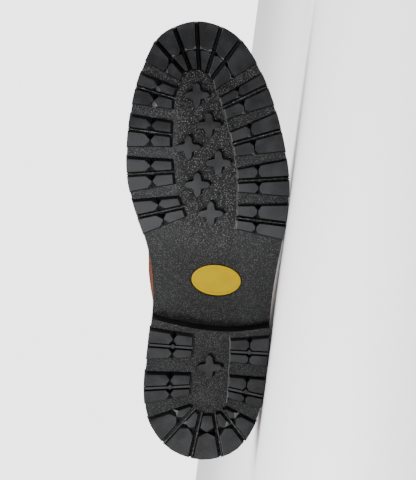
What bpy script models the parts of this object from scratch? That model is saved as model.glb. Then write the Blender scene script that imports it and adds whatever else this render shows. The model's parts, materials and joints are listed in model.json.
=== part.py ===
"""A left lace-up work boot with a lugged rubber sole, lying on its outer side.

The boot is drawn standing on its tread: x runs from the back of the heel to the toe, y to the wearer's
left, which is the outer (lateral) side of a left boot, and z up. An empty then lays it on its outer side.
"""

import math
from collections import namedtuple

import bmesh
import bpy
import numpy as np
from mathutils import Matrix, Vector
from mathutils.geometry import interpolate_bezier

MM = 0.001
GAP = 0.3 * MM                  # clearance where two pieces meet

# Sole
SOLE_LENGTH = 308 * MM
TOE_TIP_Y = -6 * MM
HEEL_BACK_Y = -1.8 * MM
PLATE_THICKNESS = 5 * MM
LUG_DEPTH = 5.5 * MM
LUG_ROOT = 2.6 * MM             # how far a lug climbs the side of the plate
LUG_PROUD = 0.7 * MM            # how far a lug stands out of the side of the plate
LUG_DRAFT = 0.65 * MM           # how far a lug's wall slopes in down to the tread
THIN_GROOVE = 2.6 * MM
HEEL_HEIGHT = 22 * MM
HEEL_HALF_WIDTH = 42 * MM
BREAST_SLOPE = 3.2 * MM         # how far the heel's front wall leans back down to its floor
BREAST_STEPS, BREAST_CLEAR = 9, 2 * MM
BREAST_BEHIND = 89 * MM         # all of the breast lies in front of this
TOE_SPRING = 13 * MM
WAIST_START, BALL_START, BALL_END = 104 * MM, 174 * MM, 228 * MM
INSET_CENTRE = (125.5 * MM, 6.9 * MM)
INSET_LENGTH, INSET_WIDTH, INSET_DEPTH = 33 * MM, 20 * MM, 1.6 * MM
STUD_REACH, STUD_SHOULDER, STUD_ARM, STUD_NOTCH = 8.6 * MM, 5.4 * MM, 2.9 * MM, 3.5 * MM

# Upper
VAMP_WALL, QUARTER_WALL = 2.2 * MM, 3.6 * MM
QUARTER_START = 0.498           # share of the feather line, from the toe, where the quarters begin
FACING_END = 0.70               # and where the facing meets the collar
WALL_ROWS = 10
WELT_THICKNESS, WELT_SETBACK = 3.2 * MM, 0.4 * MM
WELT_GAP = 1.2 * MM             # room for the foot of the upper as it leans out
WELT_QUARTERS = 164 * MM        # the welt makes room for the thicker quarters behind this
INSOLE_THICKNESS, INSOLE_SLACK = 3 * MM, 1.1 * MM
TONGUE_THICKNESS, TONGUE_DEPTH, TONGUE_ABOVE = 2.2 * MM, 2.0 * MM, 12 * MM
TONGUE_ROWS, TONGUE_BELOW, TONGUE_DIP = 9, 0.8, 4 * MM
TONGUE_TUCKS = (17 * MM, 11 * MM, 5.5 * MM, 0)     # how far in from the facing's edge its columns lie
EYELETS_A_SIDE, EYELET_FROM_EDGE = 7, 9 * MM
THROAT_FOOT, THROAT_HEAD = 10 * MM, 12 * MM        # from the throat's ends to its first and last eyelets
EYELET_HOLE, EYELET_BARREL, EYELET_BORE, EYELET_FLANGE = 2.75 * MM, 2.4 * MM, 1.8 * MM, 4.2 * MM
EYELET_SEAT, EYELET_CROWN, EYELET_ROUND = 0.7 * MM, 1.3 * MM, 0.5 * MM
EYELET_SIDES, EYELET_DRILL = 8, 14 * MM
THROAT_FULLNESS = 0.36          # how round the bridge over the throat is
LACE_RADIUS, LACE_LIFT, LACE_HUMP = 1.8 * MM, 4.2 * MM, 1.1 * MM
LACE_OVER, LACE_TWIST = 0.35 * MM, 0.4             # keep the upper strand's ends off the lower strand's

SIGN = {"medial": -1, "lateral": 1}

SoleStation = namedtuple("SoleStation", "x medial lateral")
Pair = namedtuple("Pair", "outer_front inner_front outer_groove inner_groove outer_back inner_back")
FanGroove = namedtuple("FanGroove", "outer_y inner_x inner_y")
Spot = namedtuple("Spot", "x y")
Rib = namedtuple("Rib", "foot top_x top_y top_z rise bulge_medial bulge_lateral reach drop")


def in_millimetres(kind, *rows):
    """Rows of a table written in millimetres, as named rows in metres."""
    return [kind(*(value * MM for value in row)) for row in rows]


SOLE_STATIONS = in_millimetres(
    SoleStation,
    (3.9, 19.1, 15.9),
    (12.3, 31.0, 26.6),
    (29, 41.4, 36.1),
    (50, 44.1, 41.0),
    (80, 41.4, 44.1),
    (107, 37.9, 45.0),
    (130, 37.8, 48.4),
    (151, 41.6, 52.9),
    (173, 49.7, 57.2),
    (194, 55.2, 58.4),
    (215, 56.2, 56.0),
    (240, 54.0, 50.4),
    (265, 48.7, 41.8),
    (284, 41.2, 32.4),
    (296, 34.3, 23.2),
    (304, 22.4, 11.0),
)
FOREPART_CHANNEL = in_millimetres(
    SoleStation,
    (153, 9, 19),
    (170, 13.3, 20.8),
    (178, 16.6, 21.5),
    (191, 21.6, 21.6),
    (204, 23, 21),
    (218, 24.3, 18.6),
    (238, 23.6, 13.8),
    (253, 22.4, 8.8),
    (264, 18, 4.4),
)
HEEL_CHANNEL = in_millimetres(
    SoleStation,
    (38, 11.7, 14.1),
    (50, 12.7, 14.8),
    (70, 11.2, 16.2),
    (92, 10.4, 16.4),
)
FOREPART_PAIRS = {
    "medial": in_millimetres(
        Pair,
        (272.8, 261.7, 261.3, 252.7, 248.9, 244.6),
        (243.2, 238.3, 231.6, 227.2, 218.6, 218.6),
        (213.7, 211.6, 200.4, 201.9, 188.0, 193.2),
        (183.4, 186.2, 170.0, 177.4, 157.5, 170.5),
    ),
    "lateral": in_millimetres(
        Pair,
        (272.0, 254.4, 261.6, 246.3, 248.2, 237.6),
        (244.6, 230.1, 230.4, 220.7, 215.4, 211.6),
        (211.3, 204.5, 197.0, 194.9, 183.7, 186.9),
        (179.7, 179.2, 164.9, 169.4, 153.2, 161.3),
    ),
}
HEEL_PAIRS = {
    "medial": in_millimetres(
        Pair,
        (90.8, 85.5, 80.7, 78.3, 70.2, 71.2),
        (60.2, 60.2, 50.0, 51.6, 39.0, 45.4),
    ),
    "lateral": in_millimetres(
        Pair,
        (84.3, 82.3, 74.3, 75.8, 64.9, 68.6),
        (56.0, 58.0, 44.4, 50.0, 35.9, 43.3),
    ),
}
PAIR_SPLIT = {"medial": 0.47, "lateral": 0.61}
HEEL_SPLIT = {"medial": 0.57, "lateral": 0.52}
TOE_FAN = in_millimetres(
    FanGroove,
    (-41.8, 265.9, -17.2),
    (-36.0, 270.3, -15.3),
    (-22.9, 272.1, -10.8),
    (-6.8, 272.5, -5.0),
    (10.7, 270.3, 0.4),
    (24.6, 266.2, 3.5),
    (33.8, 260.1, 5.4),
)
HEEL_FAN = in_millimetres(
    FanGroove,
    (-41.8, 40.5, -11.7),
    (-30.6, 35.8, -7.3),
    (-11.1, 31.4, -3.5),
    (10.3, 31.4, 5.3),
    (27.2, 33.9, 9.6),
    (35.6, 39.1, 14.1),
)
FAN_SPLIT = 0.58
LUG_POINT = 0.11                # share of a bar over which a lug's end is cut to its point
LUG_POINT_GAP = 0.9 * MM
FOREPART_STUDS = in_millimetres(
    Spot, (255.9, -6.8), (234.8, 1.8), (219.1, -12.6), (208.5, 8.4), (193.2, -6.3), (173, 3.1)
)
HEEL_STUD = Spot(64.8 * MM, 2.7 * MM)
BREAST = in_millimetres(Spot, (102, -41), (94.6, 0), (93.6, 16), (96.1, 48))
LAST_INSET = in_millimetres(
    SoleStation,
    (0, 7.5, 7.5),
    (60, 7.5, 7.5),
    (112, 7, 7),
    (140, 7, 8),
    (190, 9.5, 9.5),
    (308, 9.5, 9.5),
)

# One row for each rib of the last, from the toe round to the back of the heel: where it starts on the
# feather line, where it ends on ridge, throat or collar, and the handles of the curve between.
RIBS = (
    Rib(0.00, 258, 0.0, 58.0, 24, 3.5, 3.5, 24, 0.0),
    Rib(0.09, 258, 0.0, 58.0, 24, 3.5, 3.5, 25, 0.0),
    Rib(0.18, 256, 0.0, 58.5, 25, 3.5, 3.5, 27, 0.5),
    Rib(0.28, 236, 0.0, 64.5, 26, 3.5, 3.0, 28, 2.0),
    Rib(0.38, 219, 0.0, 71.0, 28, 4.0, 2.5, 27, 3.5),
    Rib(0.492, 202, 0.0, 79.0, 34, 11.0, 3.0, 24, 5.0),
    Rib(0.498, 200, 4.5, 79.6, 34, 11.5, 3.0, 23, 6.0),
    Rib(0.54, 181, 8.5, 90.5, 46, 17.0, 3.5, 23, 10.0),
    Rib(0.58, 161, 10.5, 109.0, 52, 16.5, 4.0, 22, 18.0),
    Rib(0.62, 145, 12.0, 131.0, 50, 13.0, 4.5, 21, 28.0),
    Rib(0.66, 133, 14.0, 156.0, 54, 9.0, 5.0, 20, 40.0),
    Rib(0.70, 127, 16.5, 181.0, 56, 6.0, 5.0, 17, 50.0),
    Rib(0.73, 115, 28.5, 178.5, 55, 6.0, 5.0, 6, 54.0),
    Rib(0.76, 98, 36.6, 176.5, 54, 5.5, 5.0, -4, 56.0),
    Rib(0.80, 74, 40.0, 175.0, 52, 5.5, 5.5, -9, 58.0),
    Rib(0.86, 48, 35.8, 174.0, 51, 6.0, 6.0, -10, 58.0),
    Rib(0.92, 28, 24.2, 173.5, 50, 7.0, 7.0, -11, 58.0),
    Rib(0.96, 19.8, 12.8, 173.8, 50, 7.5, 7.5, -12, 58.0),
    Rib(1.00, 17, 0.0, 174.0, 50, 8.0, 8.0, -12, 58.0),
)
RIB_FEET = (
    0.0, 0.03, 0.06, 0.09, 0.12, 0.15, 0.18, 0.22, 0.26, 0.30, 0.34, 0.38, 0.42, 0.46, 0.492,
    0.498, 0.52, 0.545, 0.57, 0.595, 0.62, 0.645, 0.67, 0.69, 0.70,
    0.73, 0.76, 0.79, 0.82, 0.85, 0.88, 0.91, 0.94, 0.97, 1.0,
)

RUBBER, INSET_AMBER = (0.040, 0.041, 0.045), (0.42, 0.25, 0.06)
RUSSET, WELT_BROWN, INSOLE_TAN = (0.23, 0.072, 0.030), (0.16, 0.062, 0.028), (0.42, 0.27, 0.15)
BRASS, LACE_BROWN = (0.55, 0.38, 0.16), (0.060, 0.034, 0.022)


def smooth_table(value, places, rows):
    """Value of a table at a place between its rows, smooth and with no overshoot past a row."""
    places = np.asarray(places, dtype=float)
    rows = np.asarray(rows, dtype=float)
    widths = np.diff(places)
    secants = np.diff(rows, axis=0) / widths[:, None]
    slopes = np.zeros_like(rows)
    same_way = secants[:-1] * secants[1:] > 0
    total = np.where(same_way, secants[:-1] + secants[1:], 1.0)
    slopes[1:-1] = np.where(same_way, 2 * secants[:-1] * secants[1:] / total, 0.0)
    slopes[0], slopes[-1] = secants[0], secants[-1]
    row = int(np.clip(np.searchsorted(places, value) - 1, 0, len(widths) - 1))
    t = (value - places[row]) / widths[row]
    start = (2 * t**3 - 3 * t**2 + 1) * rows[row] + (t**3 - 2 * t**2 + t) * widths[row] * slopes[row]
    end = (3 * t**2 - 2 * t**3) * rows[row + 1] + (t**3 - t**2) * widths[row] * slopes[row + 1]
    return start + end


def smooth_loop(points, steps):
    """Closed smooth curve through plan points, counter-clockwise, as an array of x and y."""
    knots = [Vector((x, y, 0)) for x, y in points]
    count = len(knots)
    tangents = [(knots[(i + 1) % count] - knots[i - 1]).normalized() for i in range(count)]
    curve = []
    for i, start in enumerate(knots):
        after = (i + 1) % count
        end = knots[after]
        arm = (end - start).length / 3
        handles = start + tangents[i] * arm, end - tangents[after] * arm
        curve += interpolate_bezier(start, *handles, end, steps + 1)[:-1]
    return np.array([(point.x, point.y) for point in curve])


def outward(loop):
    """Outward unit normals of a counter-clockwise loop."""
    along = np.roll(loop, -1, axis=0) - np.roll(loop, 1, axis=0)
    normals = np.column_stack((along[:, 1], -along[:, 0]))
    return normals / np.linalg.norm(normals, axis=1)[:, None]


def grown(loop, distance):
    """A smooth loop moved outwards by a distance, or by one distance for each point."""
    return loop + outward(loop) * np.reshape(distance, (-1, 1))


def mitred_inset(points, distance):
    """A polygon moved inwards by a distance, corners kept sharp."""
    points = np.asarray(points)
    before = points - np.roll(points, 1, axis=0)
    after = np.roll(points, -1, axis=0) - points
    before /= np.linalg.norm(before, axis=1)[:, None]
    after /= np.linalg.norm(after, axis=1)[:, None]
    inward = np.column_stack((-before[:, 1] - after[:, 1], before[:, 0] + after[:, 0]))
    inward /= np.linalg.norm(inward, axis=1)[:, None]
    cosine = np.abs(inward[:, 0] * -before[:, 1] + inward[:, 1] * before[:, 0])
    return points + inward * (distance / np.maximum(cosine, 0.5))[:, None]


def counter_clockwise(points):
    """The polygon, turned round if it runs clockwise."""
    points = np.asarray(points)
    x, y = points[:, 0], points[:, 1]
    area = np.sum(x * np.roll(y, -1) - np.roll(x, -1) * y)
    return points if area > 0 else points[::-1]


LOOP_STEPS = 9
SOLE_LOOP = smooth_loop(
    [(0, HEEL_BACK_Y)]
    + [(row.x, -row.medial) for row in SOLE_STATIONS]
    + [(SOLE_LENGTH, TOE_TIP_Y)]
    + [(row.x, row.lateral) for row in reversed(SOLE_STATIONS)],
    LOOP_STEPS,
)
TOE_INDEX = (len(SOLE_STATIONS) + 1) * LOOP_STEPS
PLATE_STEP = 3                  # the plates take every third point of a loop


def halves(loop):
    """The two sides of a loop that follows the sole's, each from the toe to the back of the heel."""
    return {"medial": loop[TOE_INDEX::-1], "lateral": np.vstack((loop[TOE_INDEX:], loop[:1]))}


def by_side(table, x):
    """Both columns of a sole table at a station."""
    places = [row.x for row in table]
    return {side: np.interp(x, places, [getattr(row, side) for row in table]) for side in SIGN}


def last_loop():
    """The feather line, where the last meets the sole, in plan."""
    inset = np.empty(len(SOLE_LOOP))
    for index, (x, _) in enumerate(SOLE_LOOP):
        inset[index] = by_side(LAST_INSET, x)["medial" if index <= TOE_INDEX else "lateral"]
    return grown(SOLE_LOOP, -inset)


SOLE_HALVES = halves(SOLE_LOOP)
LAST_LOOP = last_loop()


def sole_curve(x):
    """Height of the plate's underside over the ground: heel seat, waist, flat ball and toe spring."""
    if x <= BALL_START:
        fall = np.clip((x - WAIST_START) / (BALL_START - WAIST_START), 0, 1)
        return LUG_DEPTH + (HEEL_HEIGHT + GAP - LUG_DEPTH) * (1 + math.cos(math.pi * fall)) / 2
    return LUG_DEPTH + TOE_SPRING * max(0.0, (x - BALL_END) / (SOLE_LENGTH - BALL_END)) ** 1.8


BENDS = np.concatenate((np.linspace(WAIST_START, BALL_START, 8), np.linspace(BALL_END, SOLE_LENGTH, 9)))
BEND_HEIGHTS = [sole_curve(x) for x in BENDS]


def lift(x):
    """Height of the plate's underside, straight between the bends."""
    return float(np.interp(x, BENDS, BEND_HEIGHTS))


def sole_top(x):
    """Height at which insole, welt and upper sit."""
    return lift(x) + PLATE_THICKNESS + GAP


def new_object(name, mesh, colour, roughness, metallic=0.0):
    """A part of the boot with its own material."""
    material = bpy.data.materials.new(name)
    material.use_nodes = True
    shader = material.node_tree.nodes["Principled BSDF"]
    shader.inputs["Base Color"].default_value = (*colour, 1)
    shader.inputs["Roughness"].default_value = roughness
    shader.inputs["Metallic"].default_value = metallic
    mesh.materials.clear()
    mesh.materials.append(material)
    part = bpy.data.objects.new(name, mesh)
    bpy.data.collections["lace_up_boot"].objects.link(part)
    return part


def mesh_from(bm, name):
    """Mesh of a finished bmesh, with its faces pointing out."""
    bmesh.ops.recalc_face_normals(bm, faces=bm.faces)
    mesh = bpy.data.meshes.new(name)
    bm.to_mesh(mesh)
    bm.free()
    return mesh


def evaluated_mesh(source):
    """Mesh of an object as its modifiers or its curve make it; the object is removed."""
    bpy.context.view_layer.update()
    mesh = bpy.data.meshes.new_from_object(source.evaluated_get(bpy.context.evaluated_depsgraph_get()))
    bpy.data.objects.remove(source)
    return mesh


def working_object(mesh):
    """An object for a mesh that is still being made."""
    source = bpy.data.objects.new("working", mesh)
    bpy.context.scene.collection.objects.link(source)
    return source


def combined(mesh, tool, operation):
    """Mesh joined with, or cut by, another one."""
    base, cutter = working_object(mesh), working_object(tool)
    boolean = base.modifiers.new("boolean", "BOOLEAN")
    boolean.operation = operation
    boolean.solver = "EXACT"
    boolean.object = cutter
    result = evaluated_mesh(base)
    bpy.data.objects.remove(cutter)
    return result


def flat_plate(loops, thickness):
    """Plate from a 2D curve of one or more closed loops, its underside at height 0."""
    outline = bpy.data.curves.new("outline", "CURVE")
    outline.dimensions = "2D"
    outline.fill_mode = "BOTH"
    outline.extrude = thickness / 2
    for loop in loops:
        spline = outline.splines.new("POLY")
        spline.points.add(len(loop) - 1)
        for point, (x, y) in zip(spline.points, loop):
            point.co = (x, y, 0, 1)
        spline.use_cyclic_u = True
    bm = bmesh.new()
    bm.from_mesh(evaluated_mesh(working_object(outline)))
    bmesh.ops.remove_doubles(bm, verts=bm.verts, dist=0.01 * MM)
    bmesh.ops.dissolve_limit(bm, angle_limit=math.radians(0.5), verts=bm.verts, edges=bm.edges)
    bmesh.ops.translate(bm, verts=bm.verts, vec=(0, 0, thickness / 2))
    return mesh_from(bm, "plate")


def bent_to_sole(mesh, base):
    """Plate bent along the sole's curve, with a height added."""
    bm = bmesh.new()
    bm.from_mesh(mesh)
    bmesh.ops.dissolve_limit(bm, angle_limit=math.radians(0.5), verts=bm.verts, edges=bm.edges)
    for x in BENDS:
        geometry = bm.verts[:] + bm.edges[:] + bm.faces[:]
        bmesh.ops.bisect_plane(bm, geom=geometry, dist=0.005 * MM, plane_co=(x, 0, 0), plane_no=(1, 0, 0))
    for vertex in bm.verts:
        vertex.co.z += lift(vertex.co.x) + base
    bmesh.ops.triangulate(bm, faces=bm.faces)
    return mesh_from(bm, "bent")


def add_prism(bm, low, low_z, high, high_z):
    """Closed solid between two plan polygons of as many points."""
    lower = [bm.verts.new((x, y, low_z)) for x, y in low]
    upper = [bm.verts.new((x, y, high_z)) for x, y in high]
    bm.faces.new(lower[::-1])
    bm.faces.new(upper)
    for i in range(len(lower)):
        after = (i + 1) % len(lower)
        bm.faces.new((lower[i], lower[after], upper[after], upper[i]))


def add_lug(bm, outline, floor):
    """Lug that stands down from a floor, its walls drafted."""
    outline = counter_clockwise(outline)
    add_prism(bm, mitred_inset(outline, LUG_DRAFT), floor - LUG_DEPTH, outline, floor + LUG_ROOT)


def edge_point(side, x):
    """Point of the sole's edge at a station."""
    half = SOLE_HALVES[side][::-1]
    return np.array((x, np.interp(x, half[:, 0], half[:, 1])))


def end_point(at_toe, y):
    """Point of the sole's rounded toe or heel end at a breadth."""
    middle = SOLE_LENGTH * 0.82 if at_toe else SOLE_LENGTH * 0.15
    end = SOLE_LOOP[SOLE_LOOP[:, 0] > middle] if at_toe else SOLE_LOOP[SOLE_LOOP[:, 0] < middle]
    end = end[np.argsort(end[:, 1])]
    return np.array((np.interp(y, end[:, 1], end[:, 0]), y))


def edge_middle(first, second):
    """Point of the sole's edge halfway between two points of it."""
    count = len(SOLE_LOOP)
    start, end = (int(np.argmin(np.linalg.norm(SOLE_LOOP - point, axis=1))) for point in (first, second))
    span = (end - start) % count
    if span > count / 2:
        start, span = end, count - span
    return SOLE_LOOP[(start + span // 2) % count]


def shifted(line, distance):
    """A line in plan moved to its left by a distance."""
    along = line[1] - line[0]
    left = np.array((-along[1], along[0])) / np.linalg.norm(along)
    return line[0] + left * distance, line[1] + left * distance


def bar_lugs(first, second, split):
    """Outlines of a bar's outer and inner lug, between two lines that run from the sole's edge inwards."""
    def at(line, share):
        return line[0] + (line[1] - line[0]) * share

    length = np.linalg.norm((first[1] + second[1] - first[0] - second[0]) / 2)
    half_gap = LUG_POINT_GAP / 2 / length
    tips = [(at(first, share) + at(second, share)) / 2 for share in (split - half_gap, split + half_gap)]
    near, far = split - LUG_POINT, split + LUG_POINT
    middle = edge_middle(first[0], second[0])
    outer = [first[0], middle, second[0], at(second, near), tips[0], at(first, near)]
    inner = [at(first, far), tips[1], at(second, far), second[1], first[1]]
    return outer, inner


def pair_lugs(pairs, channel, splits):
    """Outlines of the lugs along both sides of a tread: two bars in each pair, a thin groove between."""
    for side, rows in pairs.items():
        def line(outer_x, inner_x):
            inner = np.array((inner_x, SIGN[side] * by_side(channel, inner_x)[side]))
            return edge_point(side, outer_x), inner

        for row in rows:
            front = line(row.outer_front, row.inner_front)
            groove = line(row.outer_groove, row.inner_groove)
            back = line(row.outer_back, row.inner_back)
            to_front = SIGN[side] * THIN_GROOVE / -2
            yield from bar_lugs(front, shifted(groove, -to_front), splits[side])
            yield from bar_lugs(shifted(groove, to_front), back, splits[side])


def fan_lugs(grooves, at_toe):
    """Outlines of the lugs round the toe or the back of the heel."""
    lines = [(end_point(at_toe, row.outer_y), np.array((row.inner_x, row.inner_y))) for row in grooves]
    turn = -THIN_GROOVE / 2 if at_toe else THIN_GROOVE / 2
    last = len(lines) - 2
    for index in range(last + 1):
        first = lines[index] if index == 0 else shifted(lines[index], turn)
        second = lines[index + 1] if index == last else shifted(lines[index + 1], -turn)
        yield from bar_lugs(first, second, FAN_SPLIT)


def stud_outline(spot):
    """Outline of a cross stud with four pointed arms."""
    points = []
    for arm in range(4):
        turn = Matrix.Rotation(arm * math.pi / 2, 2)
        notch = Matrix.Rotation(math.pi / 4, 2) @ Vector((STUD_NOTCH, 0))
        for place in ((STUD_SHOULDER, -STUD_ARM), (STUD_REACH, 0), (STUD_SHOULDER, STUD_ARM), notch):
            point = turn @ Vector(place)
            points.append((spot.x + point.x, spot.y + point.y))
    return points


def oval(centre, length, width, points=28):
    """Plan oval, longer across the sole than along it."""
    angles = np.linspace(0, 2 * math.pi, points, endpoint=False)
    return np.column_stack((centre[0] + width / 2 * np.cos(angles), centre[1] + length / 2 * np.sin(angles)))


def make_outsole():
    """Forepart and waist of the sole: a plate with lugs and studs, recessed for the inset."""
    bm = bmesh.new()
    for outline in pair_lugs(FOREPART_PAIRS, FOREPART_CHANNEL, PAIR_SPLIT):
        add_lug(bm, outline, 0)
    for outline in fan_lugs(TOE_FAN, at_toe=True):
        add_lug(bm, outline, 0)
    for spot in FOREPART_STUDS:
        add_lug(bm, stud_outline(spot), 0)
    plate = flat_plate([grown(SOLE_LOOP, -LUG_PROUD)[::PLATE_STEP]], PLATE_THICKNESS)
    recess = flat_plate([oval(INSET_CENTRE, INSET_LENGTH + 2 * GAP, INSET_WIDTH + 2 * GAP)], 2 * INSET_DEPTH)
    recess.transform(Matrix.Translation((0, 0, -INSET_DEPTH)))
    plate = combined(plate, recess, "DIFFERENCE")
    mesh = combined(plate, mesh_from(bm, "lugs"), "UNION")
    return new_object("outsole", bent_to_sole(mesh, 0), RUBBER, 0.55)


def make_waist_inset():
    """Plain oval plug that sits in its recess in the waist, its face just under the sole's."""
    mesh = flat_plate([oval(INSET_CENTRE, INSET_LENGTH, INSET_WIDTH)], INSET_DEPTH - GAP)
    return new_object("waist_inset", bent_to_sole(mesh, 0), INSET_AMBER, 0.45)


def heel_ring(inset, breast_shift):
    """Outline of the heel block: the sole's edge behind a breast that curves back at its middle."""
    ys = [spot.y for spot in BREAST]

    def breast(y):
        return float(smooth_table(y, ys, [[spot.x] for spot in BREAST])[0]) - breast_shift

    loop = grown(SOLE_LOOP, -inset)[::PLATE_STEP]
    back = [point for point in loop if point[0] < breast(point[1]) - BREAST_CLEAR]
    medial = sorted((point for point in back if point[1] < HEEL_BACK_Y), key=lambda point: point[0])
    lateral = sorted((point for point in back if point[1] >= HEEL_BACK_Y), key=lambda point: -point[0])
    sides = {side: halves(grown(SOLE_LOOP, -inset))[side][::-1] for side in SIGN}
    corners = {}
    for side, line in sides.items():
        x = breast(SIGN[side] * HEEL_HALF_WIDTH)
        corners[side] = (x, float(np.interp(x, line[:, 0], line[:, 1])))
    front_ys = np.linspace(corners["medial"][1], corners["lateral"][1], BREAST_STEPS)
    front = [corners["medial"]] + [(breast(y), y) for y in front_ys[1:-1]] + [corners["lateral"]]
    return [tuple(point) for point in medial] + front + [tuple(point) for point in lateral]


def make_heel():
    """Heel block with its lugs, standing on the ground under the back of the plate."""
    bm = bmesh.new()
    for outline in pair_lugs(HEEL_PAIRS, HEEL_CHANNEL, HEEL_SPLIT):
        add_lug(bm, outline, LUG_DEPTH)
    for outline in fan_lugs(HEEL_FAN, at_toe=False):
        add_lug(bm, outline, LUG_DEPTH)
    add_lug(bm, stud_outline(HEEL_STUD), LUG_DEPTH)
    block = bmesh.new()
    top = heel_ring(LUG_PROUD, 0)
    floor = [(x - BREAST_SLOPE if x > BREAST_BEHIND else x, y) for x, y in top]
    add_prism(block, floor, LUG_DEPTH, top, HEEL_HEIGHT)
    mesh = combined(mesh_from(block, "block"), mesh_from(bm, "lugs"), "UNION")
    return new_object("heel", mesh, RUBBER, 0.55)


def make_welt():
    """Flat leather strip on the plate, round the foot of the upper."""
    wall = np.where(LAST_LOOP[:, 0] > WELT_QUARTERS, VAMP_WALL, QUARTER_WALL)
    inner = grown(LAST_LOOP, wall + WELT_GAP)[::PLATE_STEP]
    outer = grown(SOLE_LOOP, -WELT_SETBACK)[::PLATE_STEP]
    mesh = flat_plate([outer, inner], WELT_THICKNESS)
    return new_object("welt", bent_to_sole(mesh, PLATE_THICKNESS + GAP), WELT_BROWN, 0.6)


def make_insole():
    """Board that closes the upper underneath."""
    mesh = flat_plate([grown(LAST_LOOP, -INSOLE_SLACK)[::PLATE_STEP]], INSOLE_THICKNESS)
    return new_object("insole", bent_to_sole(mesh, PLATE_THICKNESS + GAP), INSOLE_TAN, 0.7)


LAST_HALVES = halves(LAST_LOOP)
LAST_OUTWARD = halves(outward(LAST_LOOP))


def feather_point(side, foot):
    """Point and outward direction of the feather line, by the share of its length from the toe."""
    half, normals = LAST_HALVES[side], LAST_OUTWARD[side]
    lengths = np.concatenate(([0], np.cumsum(np.linalg.norm(np.diff(half, axis=0), axis=1))))
    length = foot * lengths[-1]
    x, y, nx, ny = (np.interp(length, lengths, column) for column in (*half.T, *normals.T))
    return Vector((x, y, sole_top(x))), Vector((nx, ny, 0)).normalized()


def last_point(side, foot, height):
    """Point of the last: on the rib that starts at foot, at a share of its way up."""
    rib = Rib(foot, *smooth_table(foot, [row.foot for row in RIBS], [row[1:] for row in RIBS]))
    start, out = feather_point(side, foot)
    top_y = max(rib.top_y, 0.0) * SIGN[side]
    end = Vector((rib.top_x, top_y, rib.top_z)) * MM
    bulge = rib.bulge_medial if side == "medial" else rib.bulge_lateral
    low = start + (out * bulge + Vector((0, 0, rib.rise))) * MM
    high = end + (out * rib.reach - Vector((0, 0, rib.drop))) * MM
    near, far = 1 - height, height
    return start * near**3 + low * (3 * near**2 * far) + high * (3 * near * far**2) + end * far**3


def last_normal(side, foot, height):
    """Outward unit normal of the last."""
    step = 0.004
    low, high = max(height - step, 0), min(height + step, 1)
    up = last_point(side, foot, high) - last_point(side, foot, low)
    back = last_point(side, min(foot + step, 1), height) - last_point(side, max(foot - step, 0), height)
    return (back.cross(up) * SIGN[side]).normalized()


def height_from_top(side, foot, distance):
    """Share of a rib's way up at which a distance is left to its top."""
    heights = np.linspace(1, 0, 80)
    points = [last_point(side, foot, height) for height in heights]
    left = np.concatenate(([0], np.cumsum([(b - a).length for a, b in zip(points, points[1:])])))
    return float(np.interp(distance, left, heights))


def make_upper(eyelet_spots):
    """Hollow shell over the last: thin vamp, quarters a step thicker, open at throat, collar and sole."""
    bm = bmesh.new()
    group = bm.verts.layers.deform.verify()
    columns = [("lateral", foot) for foot in RIB_FEET] + [("medial", foot) for foot in RIB_FEET[-2:0:-1]]
    heights = np.linspace(0, 1, WALL_ROWS + 1)
    grid = []
    for side, foot in columns:
        wall = VAMP_WALL if foot < QUARTER_START else QUARTER_WALL
        column = [bm.verts.new(last_point(side, foot, height)) for height in heights]
        for vertex in column:
            vertex[group][0] = wall / QUARTER_WALL
        grid.append(column)
    for column, after in zip(grid, grid[1:] + grid[:1]):
        for row in range(WALL_ROWS):
            bm.faces.new((after[row], after[row + 1], column[row + 1], column[row]))
    bmesh.ops.remove_doubles(bm, verts=bm.verts, dist=0.02 * MM)
    mesh = bpy.data.meshes.new("last")
    bm.to_mesh(mesh)
    bm.free()
    shell = working_object(mesh)
    shell.vertex_groups.new(name="wall")
    solidify = shell.modifiers.new("wall", "SOLIDIFY")
    solidify.thickness = QUARTER_WALL
    solidify.offset = 1
    solidify.vertex_group = "wall"
    mesh = evaluated_mesh(shell)
    for vertex in mesh.vertices:
        vertex.co.z = max(vertex.co.z, sole_top(vertex.co.x))
    cutters = bmesh.new()
    for _, place in eyelet_spots:
        bmesh.ops.create_cone(
            cutters, cap_ends=True, segments=EYELET_SIDES, matrix=place,
            radius1=EYELET_HOLE, radius2=EYELET_HOLE, depth=EYELET_DRILL,
        )
    mesh = combined(mesh, mesh_from(cutters, "eyelet_holes"), "DIFFERENCE")
    return new_object("upper", mesh, RUSSET, 0.5)


def throat_feet(count):
    """Places along the throat, evenly spaced by length, at which the eyelets sit."""
    feet = np.linspace(QUARTER_START, FACING_END, 60)
    edge = [last_point("lateral", foot, 1) for foot in feet]
    lengths = np.concatenate(([0], np.cumsum([(b - a).length for a, b in zip(edge, edge[1:])])))
    return np.interp(np.linspace(THROAT_FOOT, lengths[-1] - THROAT_HEAD, count), lengths, feet)


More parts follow.
